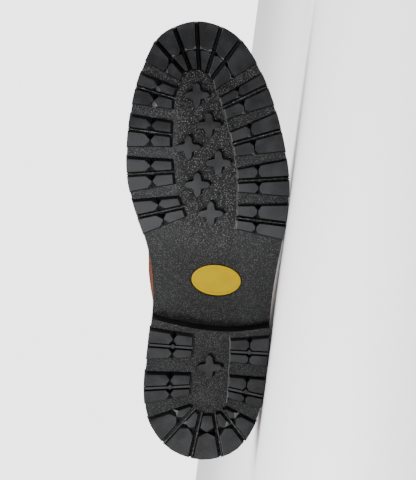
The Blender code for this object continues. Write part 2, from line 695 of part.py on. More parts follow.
def make_eyelets():
    """Metal rings with a barrel through the facing, and the places they sit at."""
    spots = []
    for side in SIGN:
        for number, foot in enumerate(throat_feet(EYELETS_A_SIDE), 1):
            height = height_from_top(side, foot, EYELET_FROM_EDGE)
            normal = last_normal(side, foot, height)
            centre = last_point(side, foot, height) + normal * QUARTER_WALL
            turn = normal.to_track_quat("Z", "Y").to_matrix().to_4x4()
            spots.append((f"eyelet_{side}_{number}", Matrix.Translation(centre) @ turn))
    bottom = -QUARTER_WALL
    profile = (
        (EYELET_BORE, EYELET_CROWN), (EYELET_FLANGE - EYELET_ROUND, EYELET_CROWN),
        (EYELET_FLANGE, EYELET_SEAT), (EYELET_BARREL, EYELET_SEAT),
        (EYELET_BARREL, bottom), (EYELET_BORE, bottom),
    )
    bm = bmesh.new()
    ring = [bm.verts.new((radius, 0, z)) for radius, z in profile]
    for vertex, after in zip(ring, ring[1:] + ring[:1]):
        bm.edges.new((vertex, after))
    half = bpy.data.meshes.new("eyelet")
    bm.to_mesh(half)
    bm.free()
    source = working_object(half)
    screw = source.modifiers.new("turned", "SCREW")
    screw.steps = screw.render_steps = EYELET_SIDES
    screw.use_merge_vertices = True
    screw.merge_threshold = 0.01 * MM
    turned = evaluated_mesh(source)
    for name, place in spots:
        mesh = turned.copy()
        mesh.transform(place)
        bm = bmesh.new()
        bm.from_mesh(mesh)
        new_object(name, mesh_from(bm, name), BRASS, 0.35, 1.0)
    return spots


def across_throat(foot, from_edge, share):
    """Point and normal on a smooth bridge over the throat, from the lateral facing to the medial."""
    ends = []
    for side in ("lateral", "medial"):
        height = height_from_top(side, foot, from_edge)
        point = last_point(side, foot, height)
        inwards = last_point(side, foot, min(height + 0.01, 1)) - last_point(side, foot, height - 0.01)
        ends.append((point, inwards.normalized(), last_normal(side, foot, height)))
    (start, out, start_normal), (end, back, end_normal) = ends
    arm = (end - start).length * THROAT_FULLNESS
    near, far = 1 - share, share
    low, high = start + out * arm, end + back * arm
    point = start * near**3 + low * (3 * near**2 * far) + high * (3 * near * far**2) + end * far**3
    return point, start_normal.lerp(end_normal, share).normalized()


def make_tongue():
    """Curved leather sheet behind the throat, tucked under both facings."""
    rows = []
    for foot in np.linspace(QUARTER_START + 0.004, FACING_END - 0.006, TONGUE_ROWS):
        row = []
        for side, from_edge in [("lateral", tuck) for tuck in TONGUE_TUCKS]:
            height = height_from_top(side, foot, from_edge)
            row.append((last_point(side, foot, height), last_normal(side, foot, height)))
        row += [across_throat(foot, 0, share) for share in (0.25, 0.5, 0.75)]
        for side, from_edge in [("medial", tuck) for tuck in reversed(TONGUE_TUCKS)]:
            height = height_from_top(side, foot, from_edge)
            row.append((last_point(side, foot, height), last_normal(side, foot, height)))
        rows.append([point - normal * TONGUE_DEPTH for point, normal in row])
    below = [a + (a - b) * TONGUE_BELOW - Vector((0, 0, TONGUE_DIP)) for a, b in zip(rows[0], rows[1])]
    above = [a + (a - b).normalized() * TONGUE_ABOVE for a, b in zip(rows[-1], rows[-2])]
    rows = [below] + rows + [above]
    bm = bmesh.new()
    grid = [[bm.verts.new(point) for point in row] for row in rows]
    for row, after in zip(grid, grid[1:]):
        for i in range(len(row) - 1):
            bm.faces.new((after[i], after[i + 1], row[i + 1], row[i]))
    mesh = bpy.data.meshes.new("tongue")
    bm.to_mesh(mesh)
    bm.free()
    sheet = working_object(mesh)
    solidify = sheet.modifiers.new("leather", "SOLIDIFY")
    solidify.thickness = TONGUE_THICKNESS
    solidify.offset = -1
    bm = bmesh.new()
    bm.from_mesh(evaluated_mesh(sheet))
    return new_object("tongue", mesh_from(bm, "tongue"), RUSSET, 0.55)


def lace_crossing(first, second, upper):
    """Mesh of one stretch of lace from eyelet to eyelet; an upper strand humps over a lower one."""
    (first_foot, first_share), (second_foot, second_share) = first, second
    path = bpy.data.curves.new("lace", "CURVE")
    path.dimensions = "3D"
    path.bevel_depth = LACE_RADIUS
    path.bevel_resolution = 1
    path.use_fill_caps = True
    spline = path.splines.new("POLY")
    shares = np.linspace(0, 1, 5)
    spline.points.add(len(shares) - 1)
    for point, share in zip(spline.points, shares):
        foot = first_foot + (second_foot - first_foot) * share
        across = first_share + (second_share - first_share) * share
        place, normal = across_throat(foot, EYELET_FROM_EDGE, across)
        lift_here = QUARTER_WALL + LACE_LIFT
        if upper:
            lift_here += LACE_OVER + LACE_HUMP * math.sin(math.pi * share)
            point.tilt = LACE_TWIST
        point.co = (*(place + normal * lift_here), 1)
    bm = bmesh.new()
    bm.from_mesh(evaluated_mesh(working_object(path)))
    bmesh.ops.remove_doubles(bm, verts=bm.verts, dist=0.01 * MM)
    return mesh_from(bm, "lace")


def make_lace():
    """Lace laid criss-cross over the throat, its ends stopping at the top eyelets."""
    feet = throat_feet(EYELETS_A_SIDE)
    mesh = lace_crossing((feet[0], 0), (feet[0], 1), False)
    for low, high in zip(feet, feet[1:]):
        for start, upper in ((0, True), (1, False)):
            mesh = combined(mesh, lace_crossing((low, start), (high, 1 - start), upper), "UNION")
    return new_object("lace", mesh, LACE_BROWN, 0.8)


def mesh_points(parts):
    """All points of the parts as one array, standing."""
    return np.array([vertex.co for part in parts for vertex in part.data.vertices])


def centre_of_mass(parts):
    """Centre of the solids' volume, standing."""
    moment, volume = Vector(), 0.0
    for part in parts:
        part.data.calc_loop_triangles()
        for triangle in part.data.loop_triangles:
            a, b, c = (part.data.vertices[i].co for i in triangle.vertices)
            piece = a.dot(b.cross(c)) / 6
            moment += (a + b + c) * (piece / 4)
            volume += piece
    return moment / volume


def resting_normal(parts):
    """Outward normal, standing, of the outer-side hull face that the boot's weight falls through."""
    hull = bmesh.new()
    for point in mesh_points(parts):
        hull.verts.new(point)
    bmesh.ops.convex_hull(hull, input=hull.verts)
    bmesh.ops.recalc_face_normals(hull, faces=hull.faces)
    centre = centre_of_mass(parts)
    for face in hull.faces:
        corners = [vertex.co for vertex in face.verts]
        edges = zip(corners, corners[1:] + corners[:1])
        if face.normal.y > 0.9 and all((b - a).cross(centre - a).dot(face.normal) > 0 for a, b in edges):
            return face.normal.copy()
    raise ValueError("the boot doesn't rest on its outer side")


def lay_on_outer_side(parts):
    """Parents the standing boot to an empty that lays it down, sole square to the front, on the ground."""
    up = -resting_normal(parts)
    depth = (Vector((0, 0, 1)) - up * up.z).normalized()
    turn = Matrix((depth.cross(up), depth, up))
    laid = mesh_points(parts) @ np.array(turn).T
    low, high = laid.min(axis=0), laid.max(axis=0)
    side = bpy.data.objects.new("boot_on_its_side", None)
    bpy.data.collections["lace_up_boot"].objects.link(side)
    to_origin = Matrix.Translation((-(low[0] + high[0]) / 2, -(low[1] + high[1]) / 2, -low[2]))
    side.matrix_world = to_origin @ turn.to_4x4()
    for part in parts:
        part.parent = side


def main():
    """Builds the boot standing, then lays it down."""
    for leftover in list(bpy.data.objects):
        bpy.data.objects.remove(leftover)
    bpy.context.scene.collection.children.link(bpy.data.collections.new("lace_up_boot"))
    make_outsole()
    make_waist_inset()
    make_heel()
    make_welt()
    make_insole()
    make_upper(make_eyelets())
    make_tongue()
    make_lace()
    lay_on_outer_side(list(bpy.data.collections["lace_up_boot"].objects))


main()
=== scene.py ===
"""Looks of a left lace-up boot that lies on its outer side, its lugged sole turned to the camera.

Pieces are modelled standing on their tread, with x from the back of the heel to the toe, y to the outer
(lateral) side and z up, and are then laid down where the frame's two tread mounts say that the boot lies.
"""

from __future__ import annotations

import json
import logging
import math
from collections.abc import Callable, Iterable, Iterator, Sequence
from dataclasses import astuple, dataclass, field, replace
from enum import Enum
from functools import cached_property, lru_cache

import bmesh
import bpy
import numpy as np
from mathutils import Matrix, Vector
from mathutils.geometry import interpolate_bezier

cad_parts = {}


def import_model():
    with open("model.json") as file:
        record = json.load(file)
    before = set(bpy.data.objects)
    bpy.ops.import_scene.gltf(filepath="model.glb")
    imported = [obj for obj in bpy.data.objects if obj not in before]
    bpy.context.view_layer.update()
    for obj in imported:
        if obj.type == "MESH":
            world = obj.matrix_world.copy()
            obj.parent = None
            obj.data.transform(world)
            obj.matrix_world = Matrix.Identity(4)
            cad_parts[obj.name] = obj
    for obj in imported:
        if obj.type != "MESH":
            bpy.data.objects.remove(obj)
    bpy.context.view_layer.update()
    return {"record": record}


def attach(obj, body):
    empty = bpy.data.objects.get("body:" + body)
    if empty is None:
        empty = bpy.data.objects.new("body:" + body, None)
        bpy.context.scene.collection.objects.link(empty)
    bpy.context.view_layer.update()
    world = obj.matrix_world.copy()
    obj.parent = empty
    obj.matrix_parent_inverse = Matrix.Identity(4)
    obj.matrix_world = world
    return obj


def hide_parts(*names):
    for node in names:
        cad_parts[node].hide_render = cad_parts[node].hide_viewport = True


LOG = logging.getLogger("boot")
MM = 0.001
IMAGE_HEIGHT_PX = 480
# Rise of the lying boot's long axis over the ground, which the rubber's wear and its painted light and shade
# follow.
LIE_SLOPE = 0.131
# Faces whose normals point further down than this are floors or treads.
DOWNWARDS = -0.9
# Edges that turn by a smaller sine than this count as one straight edge.
STRAIGHT_SINE = 0.2
Colour = tuple[float, float, float]
Line = tuple[np.ndarray, np.ndarray]
Inputs = dict[str, object]


class Side(Enum):
    """The two sides of the boot, each with the way it lies across."""

    MEDIAL = -1
    LATERAL = 1


class Surface(Enum):
    """Surfaces of the rubber, as material slots of its meshes."""

    WORN = 0
    PEBBLED = 1
    # Near-black painted shade, on walls and strips where shadow falls.
    WALL = 2
    # Ribs in bright-pebbled rubber, a painted highlight along the grooves.
    RIB = 3
    POINT = 4
    # Light grey painted highlight, on facets and edges turned to the light.
    RUBBED = 5


@dataclass(frozen=True)
class Station:
    """Half widths of the sole, or of a channel in it, at one place along it, in millimetres."""

    x: float
    medial: float
    lateral: float

    def half_width(self, side: Side) -> float:
        """Half width on one side."""
        return self.medial if side is Side.MEDIAL else self.lateral


@dataclass(frozen=True)
class LugPair:
    """Two bars of lugs with a thin groove between them.

    Outer columns are places along the sole's edge, inner ones along the channel, all in mm.
    """

    outer_front: float
    inner_front: float
    outer_groove: float
    inner_groove: float
    outer_back: float
    inner_back: float


@dataclass(frozen=True)
class Slopes:
    """How far the walls of a bar of lugs slope in down to the tread, and its points, in mm.

    Of each point, a share is cut straight across.
    """

    first: float
    second: float
    end: float
    outer_point: float
    inner_point: float
    flat: float = 0.1


@dataclass(frozen=True)
class FanGroove:
    """A groove between the lugs round the toe or the heel: its outer breadth and its inner end, in mm."""

    outer_y: float
    inner_x: float
    inner_y: float


@dataclass(frozen=True)
class TreadPlan:
    """What stands on a floor of the sole: bars along its sides, a fan round its end, studs and a rim."""

    name: str
    at_toe: bool
    pairs: dict[Side, tuple[LugPair, ...]]
    slopes: dict[Side, tuple[Slopes, Slopes]]
    channel: tuple[Station, ...]
    fan: tuple[FanGroove, ...]
    fan_slopes: Slopes
    studs: tuple[tuple[float, float], ...]
    rim: tuple[float, ...]


@dataclass(frozen=True)
class Rib:
    """One rib of the last: its foot, its top, and the handles of the curve between them.

    The foot is a share of the feather line, and the other columns are in mm.
    """

    foot: float
    top_x: float
    top_y: float
    top_z: float
    rise: float
    bulge_medial: float
    bulge_lateral: float
    reach: float
    drop: float


@dataclass(frozen=True)
class Crease:
    """A soft trough in the upper: where it runs on the last, and its half width and depth in mm."""

    side: Side
    start_foot: float
    start_height: float
    end_foot: float
    end_height: float
    width: float
    depth: float


SOLE_STATIONS = (
    Station(3.9, 19.1, 15.9),
    Station(12.3, 31.0, 26.6),
    Station(29, 41.4, 36.1),
    Station(50, 44.1, 41.0),
    Station(80, 41.4, 44.1),
    Station(107, 38.4, 46.2),
    Station(130, 38.7, 49.5),
    Station(151, 42.4, 53.4),
    Station(173, 49.7, 57.2),
    Station(194, 55.2, 58.4),
    Station(215, 56.2, 56.0),
    Station(240, 54.0, 50.4),
    Station(265, 48.7, 41.8),
    Station(284, 41.2, 32.4),
    Station(296, 34.3, 23.2),
    Station(304, 22.4, 11.0),
)
FOREPART_CHANNEL = (
    Station(153, 7.8, 19),
    Station(170, 12.0, 20.8),
    Station(178, 15.2, 21.5),
    Station(191, 20.1, 21.6),
    Station(204, 21.5, 21),
    Station(218, 22.8, 18.6),
    Station(238, 22.1, 13.8),
    Station(253, 20.9, 8.8),
    Station(264, 16.8, 4.4),
)
HEEL_CHANNEL = (
    Station(38, 10.2, 14.1),
    Station(50, 11.2, 14.8),
    Station(70, 9.6, 16.2),
    Station(92, 8.8, 16.4),
)
LAST_INSET = (
    Station(0, 7.5, 7.5),
    Station(60, 7.5, 7.5),
    Station(108, 8.0, 7.8),
    Station(116, 7.2, 8.4),
    Station(126, 7.4, 9),
    Station(145, 9.8, 9.2),
    Station(190, 9.5, 9.5),
    Station(308, 9.5, 9.5),
)
FOREPART_PAIRS = {
    Side.MEDIAL: (
        LugPair(272.8, 261.7, 261.3, 252.7, 248.9, 244.6),
        LugPair(243.2, 238.3, 231.6, 227.2, 218.6, 218.6),
        LugPair(213.7, 211.6, 199.6, 201.7, 187.0, 193.0),
        LugPair(183.4, 186.2, 170.0, 177.4, 157.5, 170.5),
    ),
    Side.LATERAL: (
        LugPair(272.0, 254.4, 261.6, 246.3, 248.2, 237.6),
        LugPair(244.6, 230.1, 230.4, 220.7, 215.4, 211.6),
        LugPair(211.3, 204.5, 197.0, 194.9, 183.7, 186.9),
        LugPair(179.7, 179.2, 164.9, 169.4, 153.2, 161.3),
    ),
}
HEEL_PAIRS = {
    Side.MEDIAL: (
        LugPair(94.1, 89.2, 80.7, 78.3, 70.2, 71.2),
        LugPair(63.4, 62.6, 50.0, 51.6, 39.0, 45.4),
    ),
    Side.LATERAL: (
        LugPair(88.3, 86.0, 74.3, 75.8, 64.9, 68.6),
        LugPair(58.8, 60.8, 44.4, 50.0, 35.9, 43.3),
    ),
}
TOE_FAN = (
    FanGroove(-43.3, 264.4, -17.6),
    FanGroove(-36.0, 270.3, -15.3),
    FanGroove(-22.9, 272.1, -10.8),
    FanGroove(-6.8, 272.5, -5.0),
    FanGroove(10.7, 270.3, 0.4),
    FanGroove(24.6, 266.2, 3.5),
    FanGroove(35.9, 258.3, 6.0),
)
HEEL_FAN = (
    FanGroove(-41.8, 40.5, -11.7),
    FanGroove(-30.6, 37.0, -7.6),
    FanGroove(-11.1, 33.6, -3.6),
    FanGroove(10.3, 33.6, 5.2),
    FanGroove(27.2, 35.6, 9.9),
    FanGroove(35.6, 39.1, 14.1),
)
# Walls that slope wide here and at the heel are mostly drawn in near-black painted shade, as the lugs' cast
# shadows.
FOREPART_SLOPES = {
    Side.MEDIAL: (Slopes(3.4, 0.5, 2.9, 3.9, 3.0), Slopes(1.1, 0.8, 2.9, 3.9, 3.0)),
    Side.LATERAL: (Slopes(2.0, 0.8, 1.2, 1.9, 2.6, 0.3), Slopes(1.1, 0.8, 1.2, 1.9, 2.6, 0.3)),
}
HEEL_SLOPES = {
    Side.MEDIAL: (Slopes(3.6, 0.5, 0.9, 2.7, 2.3), Slopes(0.8, 0.6, 0.9, 2.7, 2.3)),
    Side.LATERAL: (Slopes(3.0, 0.6, 0.9, 1.8, 2.1, 0.35), Slopes(0.8, 0.6, 0.9, 1.8, 2.1, 0.35)),
}
TOE_FAN_SLOPES = Slopes(0.6, 0.6, 1.0, 1.4, 1.4, 0.4)
HEEL_FAN_SLOPES = Slopes(0.8, 0.8, 2.4, 3.0, 3.0)
# Places in mm, along and across: one arm of a cross stud, and the studs' middles.
STUD_ARM = ((4.6, -2.9), (6.8, -2.6), (8.3, -1.5), (9.3, 0), (8.3, 1.5), (6.8, 2.6), (4.6, 2.9))
FOREPART_STUDS = ((255.9, -6.8), (234.8, 1.8), (219.1, -12.6), (208.5, 8.4), (193.2, -6.3), (173, 3.1))
HEEL_STUD = (64.8, 2.7)
# Which of the forepart's studs the frame's forefoot mount lies on.
MOUNT_STUD = 4
# Places in mm along a channel's lateral edge that its rim, a painted highlight line, runs through.
FOREPART_RIM = (161, 170, 178, 191, 204, 218, 238, 253, 262)
HEEL_RIM = (40, 50, 70, 87)
FOREPART = TreadPlan(
    "forepart", True, FOREPART_PAIRS, FOREPART_SLOPES, FOREPART_CHANNEL, TOE_FAN, TOE_FAN_SLOPES,
    FOREPART_STUDS, FOREPART_RIM,
)
HEEL = TreadPlan(
    "heel", False, HEEL_PAIRS, HEEL_SLOPES, HEEL_CHANNEL, HEEL_FAN, HEEL_FAN_SLOPES, (HEEL_STUD,), HEEL_RIM
)
# The heel's front wall: breadths and the wall's places along the sole, in mm.
BREAST = ((-41, 102), (0, 93.9), (16, 92.8), (48, 96.1))
RIBS = (
    Rib(0.00, 258, 0.0, 58.0, 24, 3.5, 3.5, 24, 0.0),
    Rib(0.09, 258, 0.0, 58.0, 24, 3.5, 3.5, 25, 0.0),
    Rib(0.18, 256, 0.0, 58.5, 25, 3.5, 3.5, 27, 0.5),
    Rib(0.28, 236, 0.0, 64.5, 26, 3.5, 3.0, 28, 2.0),
    Rib(0.38, 219, 0.0, 71.0, 28, 4.0, 2.5, 27, 3.5),
    Rib(0.492, 202, 0.0, 79.0, 34, 11.0, 3.0, 24, 5.0),
    Rib(0.498, 200, 4.5, 79.6, 34, 11.5, 3.0, 23, 6.0),
    Rib(0.54, 181, 8.5, 90.5, 46, 17.0, 3.5, 23, 10.0),
    Rib(0.58, 161, 10.5, 109.0, 52, 16.5, 4.0, 22, 18.0),
    Rib(0.62, 145, 12.0, 131.0, 50, 13.0, 4.5, 21, 28.0),
    Rib(0.66, 133, 14.0, 156.0, 54, 9.0, 5.0, 20, 40.0),
    Rib(0.70, 127, 16.5, 181.0, 56, 6.0, 5.0, 17, 50.0),
    Rib(0.73, 115, 28.5, 178.5, 55, 6.0, 5.0, 6, 54.0),
    Rib(0.76, 98, 36.6, 176.5, 54, 5.5, 5.0, -4, 56.0),
    Rib(0.80, 74, 40.0, 175.0, 52, 5.5, 5.5, -9, 58.0),
    Rib(0.86, 48, 35.8, 174.0, 51, 6.0, 6.0, -10, 58.0),
    Rib(0.92, 28, 24.2, 173.5, 50, 7.0, 7.0, -11, 58.0),
    Rib(0.96, 19.8, 12.8, 173.8, 50, 7.5, 7.5, -12, 58.0),
    Rib(1.00, 17, 0.0, 174.0, 50, 8.0, 8.0, -12, 58.0),
)
RIB_FEET = [rib.foot for rib in RIBS]
RIB_ROWS = [astuple(rib)[1:] for rib in RIBS]
CREASES = (
    Crease(Side.MEDIAL, 0.395, 0.50, 0.335, 1.00, 4.2, 0.55),
    Crease(Side.LATERAL, 0.375, 0.48, 0.335, 1.00, 4.2, 0.55),
    Crease(Side.MEDIAL, 0.455, 0.52, 0.410, 1.00, 4.6, 0.65),
    Crease(Side.LATERAL, 0.440, 0.50, 0.410, 1.00, 4.6, 0.65),
    Crease(Side.MEDIAL, 0.610, 0.64, 0.760, 0.47, 7.0, 1.00),
    Crease(Side.LATERAL, 0.610, 0.66, 0.770, 0.48, 7.0, 1.00),
    Crease(Side.MEDIAL, 0.665, 0.74, 0.800, 0.60, 7.5, 0.80),
    Crease(Side.LATERAL, 0.660, 0.73, 0.790, 0.61, 7.5, 0.80),
    Crease(Side.MEDIAL, 0.900, 0.62, 0.985, 0.57, 6.0, 0.60),
    Crease(Side.LATERAL, 0.890, 0.60, 0.985, 0.58, 6.0, 0.60),
)


def smooth_row(place: float, places: Sequence[float], rows: Sequence[Sequence[float]]) -> np.ndarray:
    """Reads a table between its rows, smoothly and with no overshoot.

    Args:
        place: where to read it.
        places: the place of each row, rising.
        rows: the values of each row.

    Returns:
        The values at the place.
    """
    at = np.asarray(places, dtype=float)
    table = np.asarray(rows, dtype=float)
    widths = np.diff(at)
    secants = np.diff(table, axis=0) / widths[:, None]
    slopes = np.zeros_like(table)
    same_way = secants[:-1] * secants[1:] > 0
    total = np.where(same_way, secants[:-1] + secants[1:], 1.0)
    slopes[1:-1] = np.where(same_way, 2 * secants[:-1] * secants[1:] / total, 0.0)
    slopes[0], slopes[-1] = secants[0], secants[-1]
    row = int(np.clip(np.searchsorted(at, place) - 1, 0, len(widths) - 1))
    t = (place - at[row]) / widths[row]
    start = (2 * t**3 - 3 * t**2 + 1) * table[row] + (t**3 - 2 * t**2 + t) * widths[row] * slopes[row]
    end = (3 * t**2 - 2 * t**3) * table[row + 1] + (t**3 - t**2) * widths[row] * slopes[row + 1]
    return start + end


def grown(loop: np.ndarray, distance: float | np.ndarray) -> np.ndarray:
    """Moves a counter-clockwise loop outwards.

    Args:
        loop: plan points.
        distance: how far, for all points or for each.

    Returns:
        The moved points.
    """
    return loop + outward(loop) * np.reshape(distance, (-1, 1))


def outward(loop: np.ndarray) -> np.ndarray:
    """Outward unit normals of a counter-clockwise loop."""
    along = np.roll(loop, -1, axis=0) - np.roll(loop, 1, axis=0)
    normals = np.column_stack((along[:, 1], -along[:, 0]))
    return normals / np.linalg.norm(normals, axis=1)[:, None]


def counter_clockwise(points: Sequence[Sequence[float]]) -> tuple[np.ndarray, bool]:
    """Turns a polygon round if it runs clockwise.

    Args:
        points: plan points.

    Returns:
        The points, and whether they were turned round.
    """
    polygon = np.asarray(points, dtype=float)
    x, y = polygon.T
    area = np.sum(x * np.roll(y, -1) - np.roll(x, -1) * y)
    return (polygon, False) if area > 0 else (polygon[::-1], True)


def inset(polygon: np.ndarray, distances: Sequence[float]) -> np.ndarray:
    """Moves each edge of a counter-clockwise polygon inwards by its own distance.

    Args:
        polygon: plan points.
        distances: one for each edge, the first for the edge from the first point to the second.

    Returns:
        The new corners.
    """
    along = np.roll(polygon, -1, axis=0) - polygon
    along /= np.linalg.norm(along, axis=1)[:, None]
    inward = np.column_stack((-along[:, 1], along[:, 0]))
    corners = []
    for i, corner in enumerate(polygon):
        edges = np.array((inward[i - 1], inward[i]))
        move = np.array((distances[i - 1], distances[i]))
        straight = abs(np.linalg.det(edges)) < STRAIGHT_SINE
        shift = edges.mean(axis=0) * move.mean() if straight else np.linalg.solve(edges, move)
        corners.append(corner + shift)
    return np.array(corners)


def running_lengths(points: np.ndarray) -> np.ndarray:
    """Length along a line at each of its points."""
    return np.concatenate(([0], np.cumsum(np.linalg.norm(np.diff(points, axis=0), axis=1))))


def bezier_point(start: Vector, low: Vector, high: Vector, end: Vector, share: float) -> Vector:
    """Point of a cubic curve at a share of its way."""
    near, far = 1 - share, share
    return start * near**3 + low * (3 * near**2 * far) + high * (3 * near * far**2) + end * far**3


@dataclass(frozen=True)
class SoleShape:
    """Outline, heights and curve of the sole, which every other piece sits on."""

    length: float = 308 * MM
    toe_tip_y: float = -6 * MM
    heel_back_y: float = -1.8 * MM
    gap: float = 0.3 * MM
    plate: float = 5 * MM
    lug_depth: float = 5.5 * MM
    heel_height: float = 22 * MM
    toe_spring: float = 13 * MM
    spring_power: float = 1.8
    waist_start: float = 104 * MM
    ball_start: float = 174 * MM
    ball_end: float = 228 * MM
    toe_share: float = 0.82
    heel_share: float = 0.15
    steps: int = 9
    slices: int = 44

    @property
    def bends(self) -> np.ndarray:
        """Places along the sole at which a plate on it is sliced before it is bent."""
        return np.linspace(self.waist_start, self.length, self.slices)[1:-1]

    @cached_property
    def loop(self) -> np.ndarray:
        """The outline in plan, counter-clockwise from the back of the heel along the medial side."""
        points = [(0, self.heel_back_y)]
        points += [(row.x * MM, -row.medial * MM) for row in SOLE_STATIONS]
        points += [(self.length, self.toe_tip_y)]
        points += [(row.x * MM, row.lateral * MM) for row in reversed(SOLE_STATIONS)]
        knots = [Vector((x, y, 0)) for x, y in points]
        count = len(knots)
        tangents = [(knots[(i + 1) % count] - knots[i - 1]).normalized() for i in range(count)]
        curve: list[Vector] = []
        for i, start in enumerate(knots):
            after = (i + 1) % count
            arm = (knots[after] - start).length / 3
            handles = start + tangents[i] * arm, knots[after] - tangents[after] * arm
            curve += interpolate_bezier(start, *handles, knots[after], self.steps + 1)[:-1]
        return np.array([(point.x, point.y) for point in curve])

    @cached_property
    def closed(self) -> np.ndarray:
        """The outline with its first point again at its end."""
        return np.vstack((self.loop, self.loop[:1]))

    @property
    def toe_index(self) -> int:
        """Index of the toe's tip in the outline."""
        return (len(SOLE_STATIONS) + 1) * self.steps

    def half(self, side: Side, loop: np.ndarray | None = None) -> np.ndarray:
        """One side of a loop that follows the outline, from the toe to the back of the heel."""
        loop = self.loop if loop is None else loop
        lateral = np.vstack((loop[self.toe_index:], loop[:1]))
        return loop[self.toe_index::-1] if side is Side.MEDIAL else lateral

    def lift(self, x: float) -> float:
        """Height of the plate's underside over the ground: heel seat, waist, flat ball and toe spring."""
        if x <= self.ball_start:
            fall = min(max((x - self.waist_start) / (self.ball_start - self.waist_start), 0), 1)
            drop = self.heel_height + self.gap - self.lug_depth
            return self.lug_depth + drop * (1 + math.cos(math.pi * fall)) / 2
        spring = max(0.0, (x - self.ball_end) / (self.length - self.ball_end))
        return self.lug_depth + self.toe_spring * spring**self.spring_power

    def top(self, x: float) -> float:
        """Height at which insole, welt and upper sit."""
        return self.lift(x) + self.plate + self.gap

    def edge_point(self, side: Side, x: float) -> np.ndarray:
        """Point of the edge at a station."""
        half = self.half(side)[::-1]
        return np.array((x, np.interp(x, half[:, 0], half[:, 1])))

    def end_point(self, at_toe: bool, y: float) -> np.ndarray:
        """Point of the rounded toe or heel end at a breadth."""
        along = self.loop[:, 0] / self.length
        end = self.loop[along > self.toe_share if at_toe else along < self.heel_share]
        end = end[np.argsort(end[:, 1])]
        return np.array((np.interp(y, end[:, 1], end[:, 0]), y))

    @cached_property
    def lengths(self) -> np.ndarray:
        """Length along the outline at each of its points, and at its end."""
        return running_lengths(self.closed)

    def length_at(self, point: np.ndarray) -> float:
        """Length along the outline at a point of it."""
        after = np.diff(self.closed, axis=0)
        shares = np.sum((point - self.loop) * after, axis=1) / np.sum(after**2, axis=1)
        shares = np.clip(shares, 0, 1)
        nearest = int(np.argmin(np.linalg.norm(self.loop + after * shares[:, None] - point, axis=1)))
        return float(self.lengths[nearest] + shares[nearest] * np.linalg.norm(after[nearest]))

    def edge_between(self, first: np.ndarray, second: np.ndarray) -> list[np.ndarray]:
        """Points of the edge a third and two thirds of the way between two points of it."""
        around = self.lengths[-1]
        start = self.length_at(first)
        span = (self.length_at(second) - start + around / 2) % around - around / 2
        places = [(start + span * share) % around for share in (1 / 3, 2 / 3)]
        columns = [np.interp(places, self.lengths, axis) for axis in self.closed.T]
        return list(np.column_stack(columns))


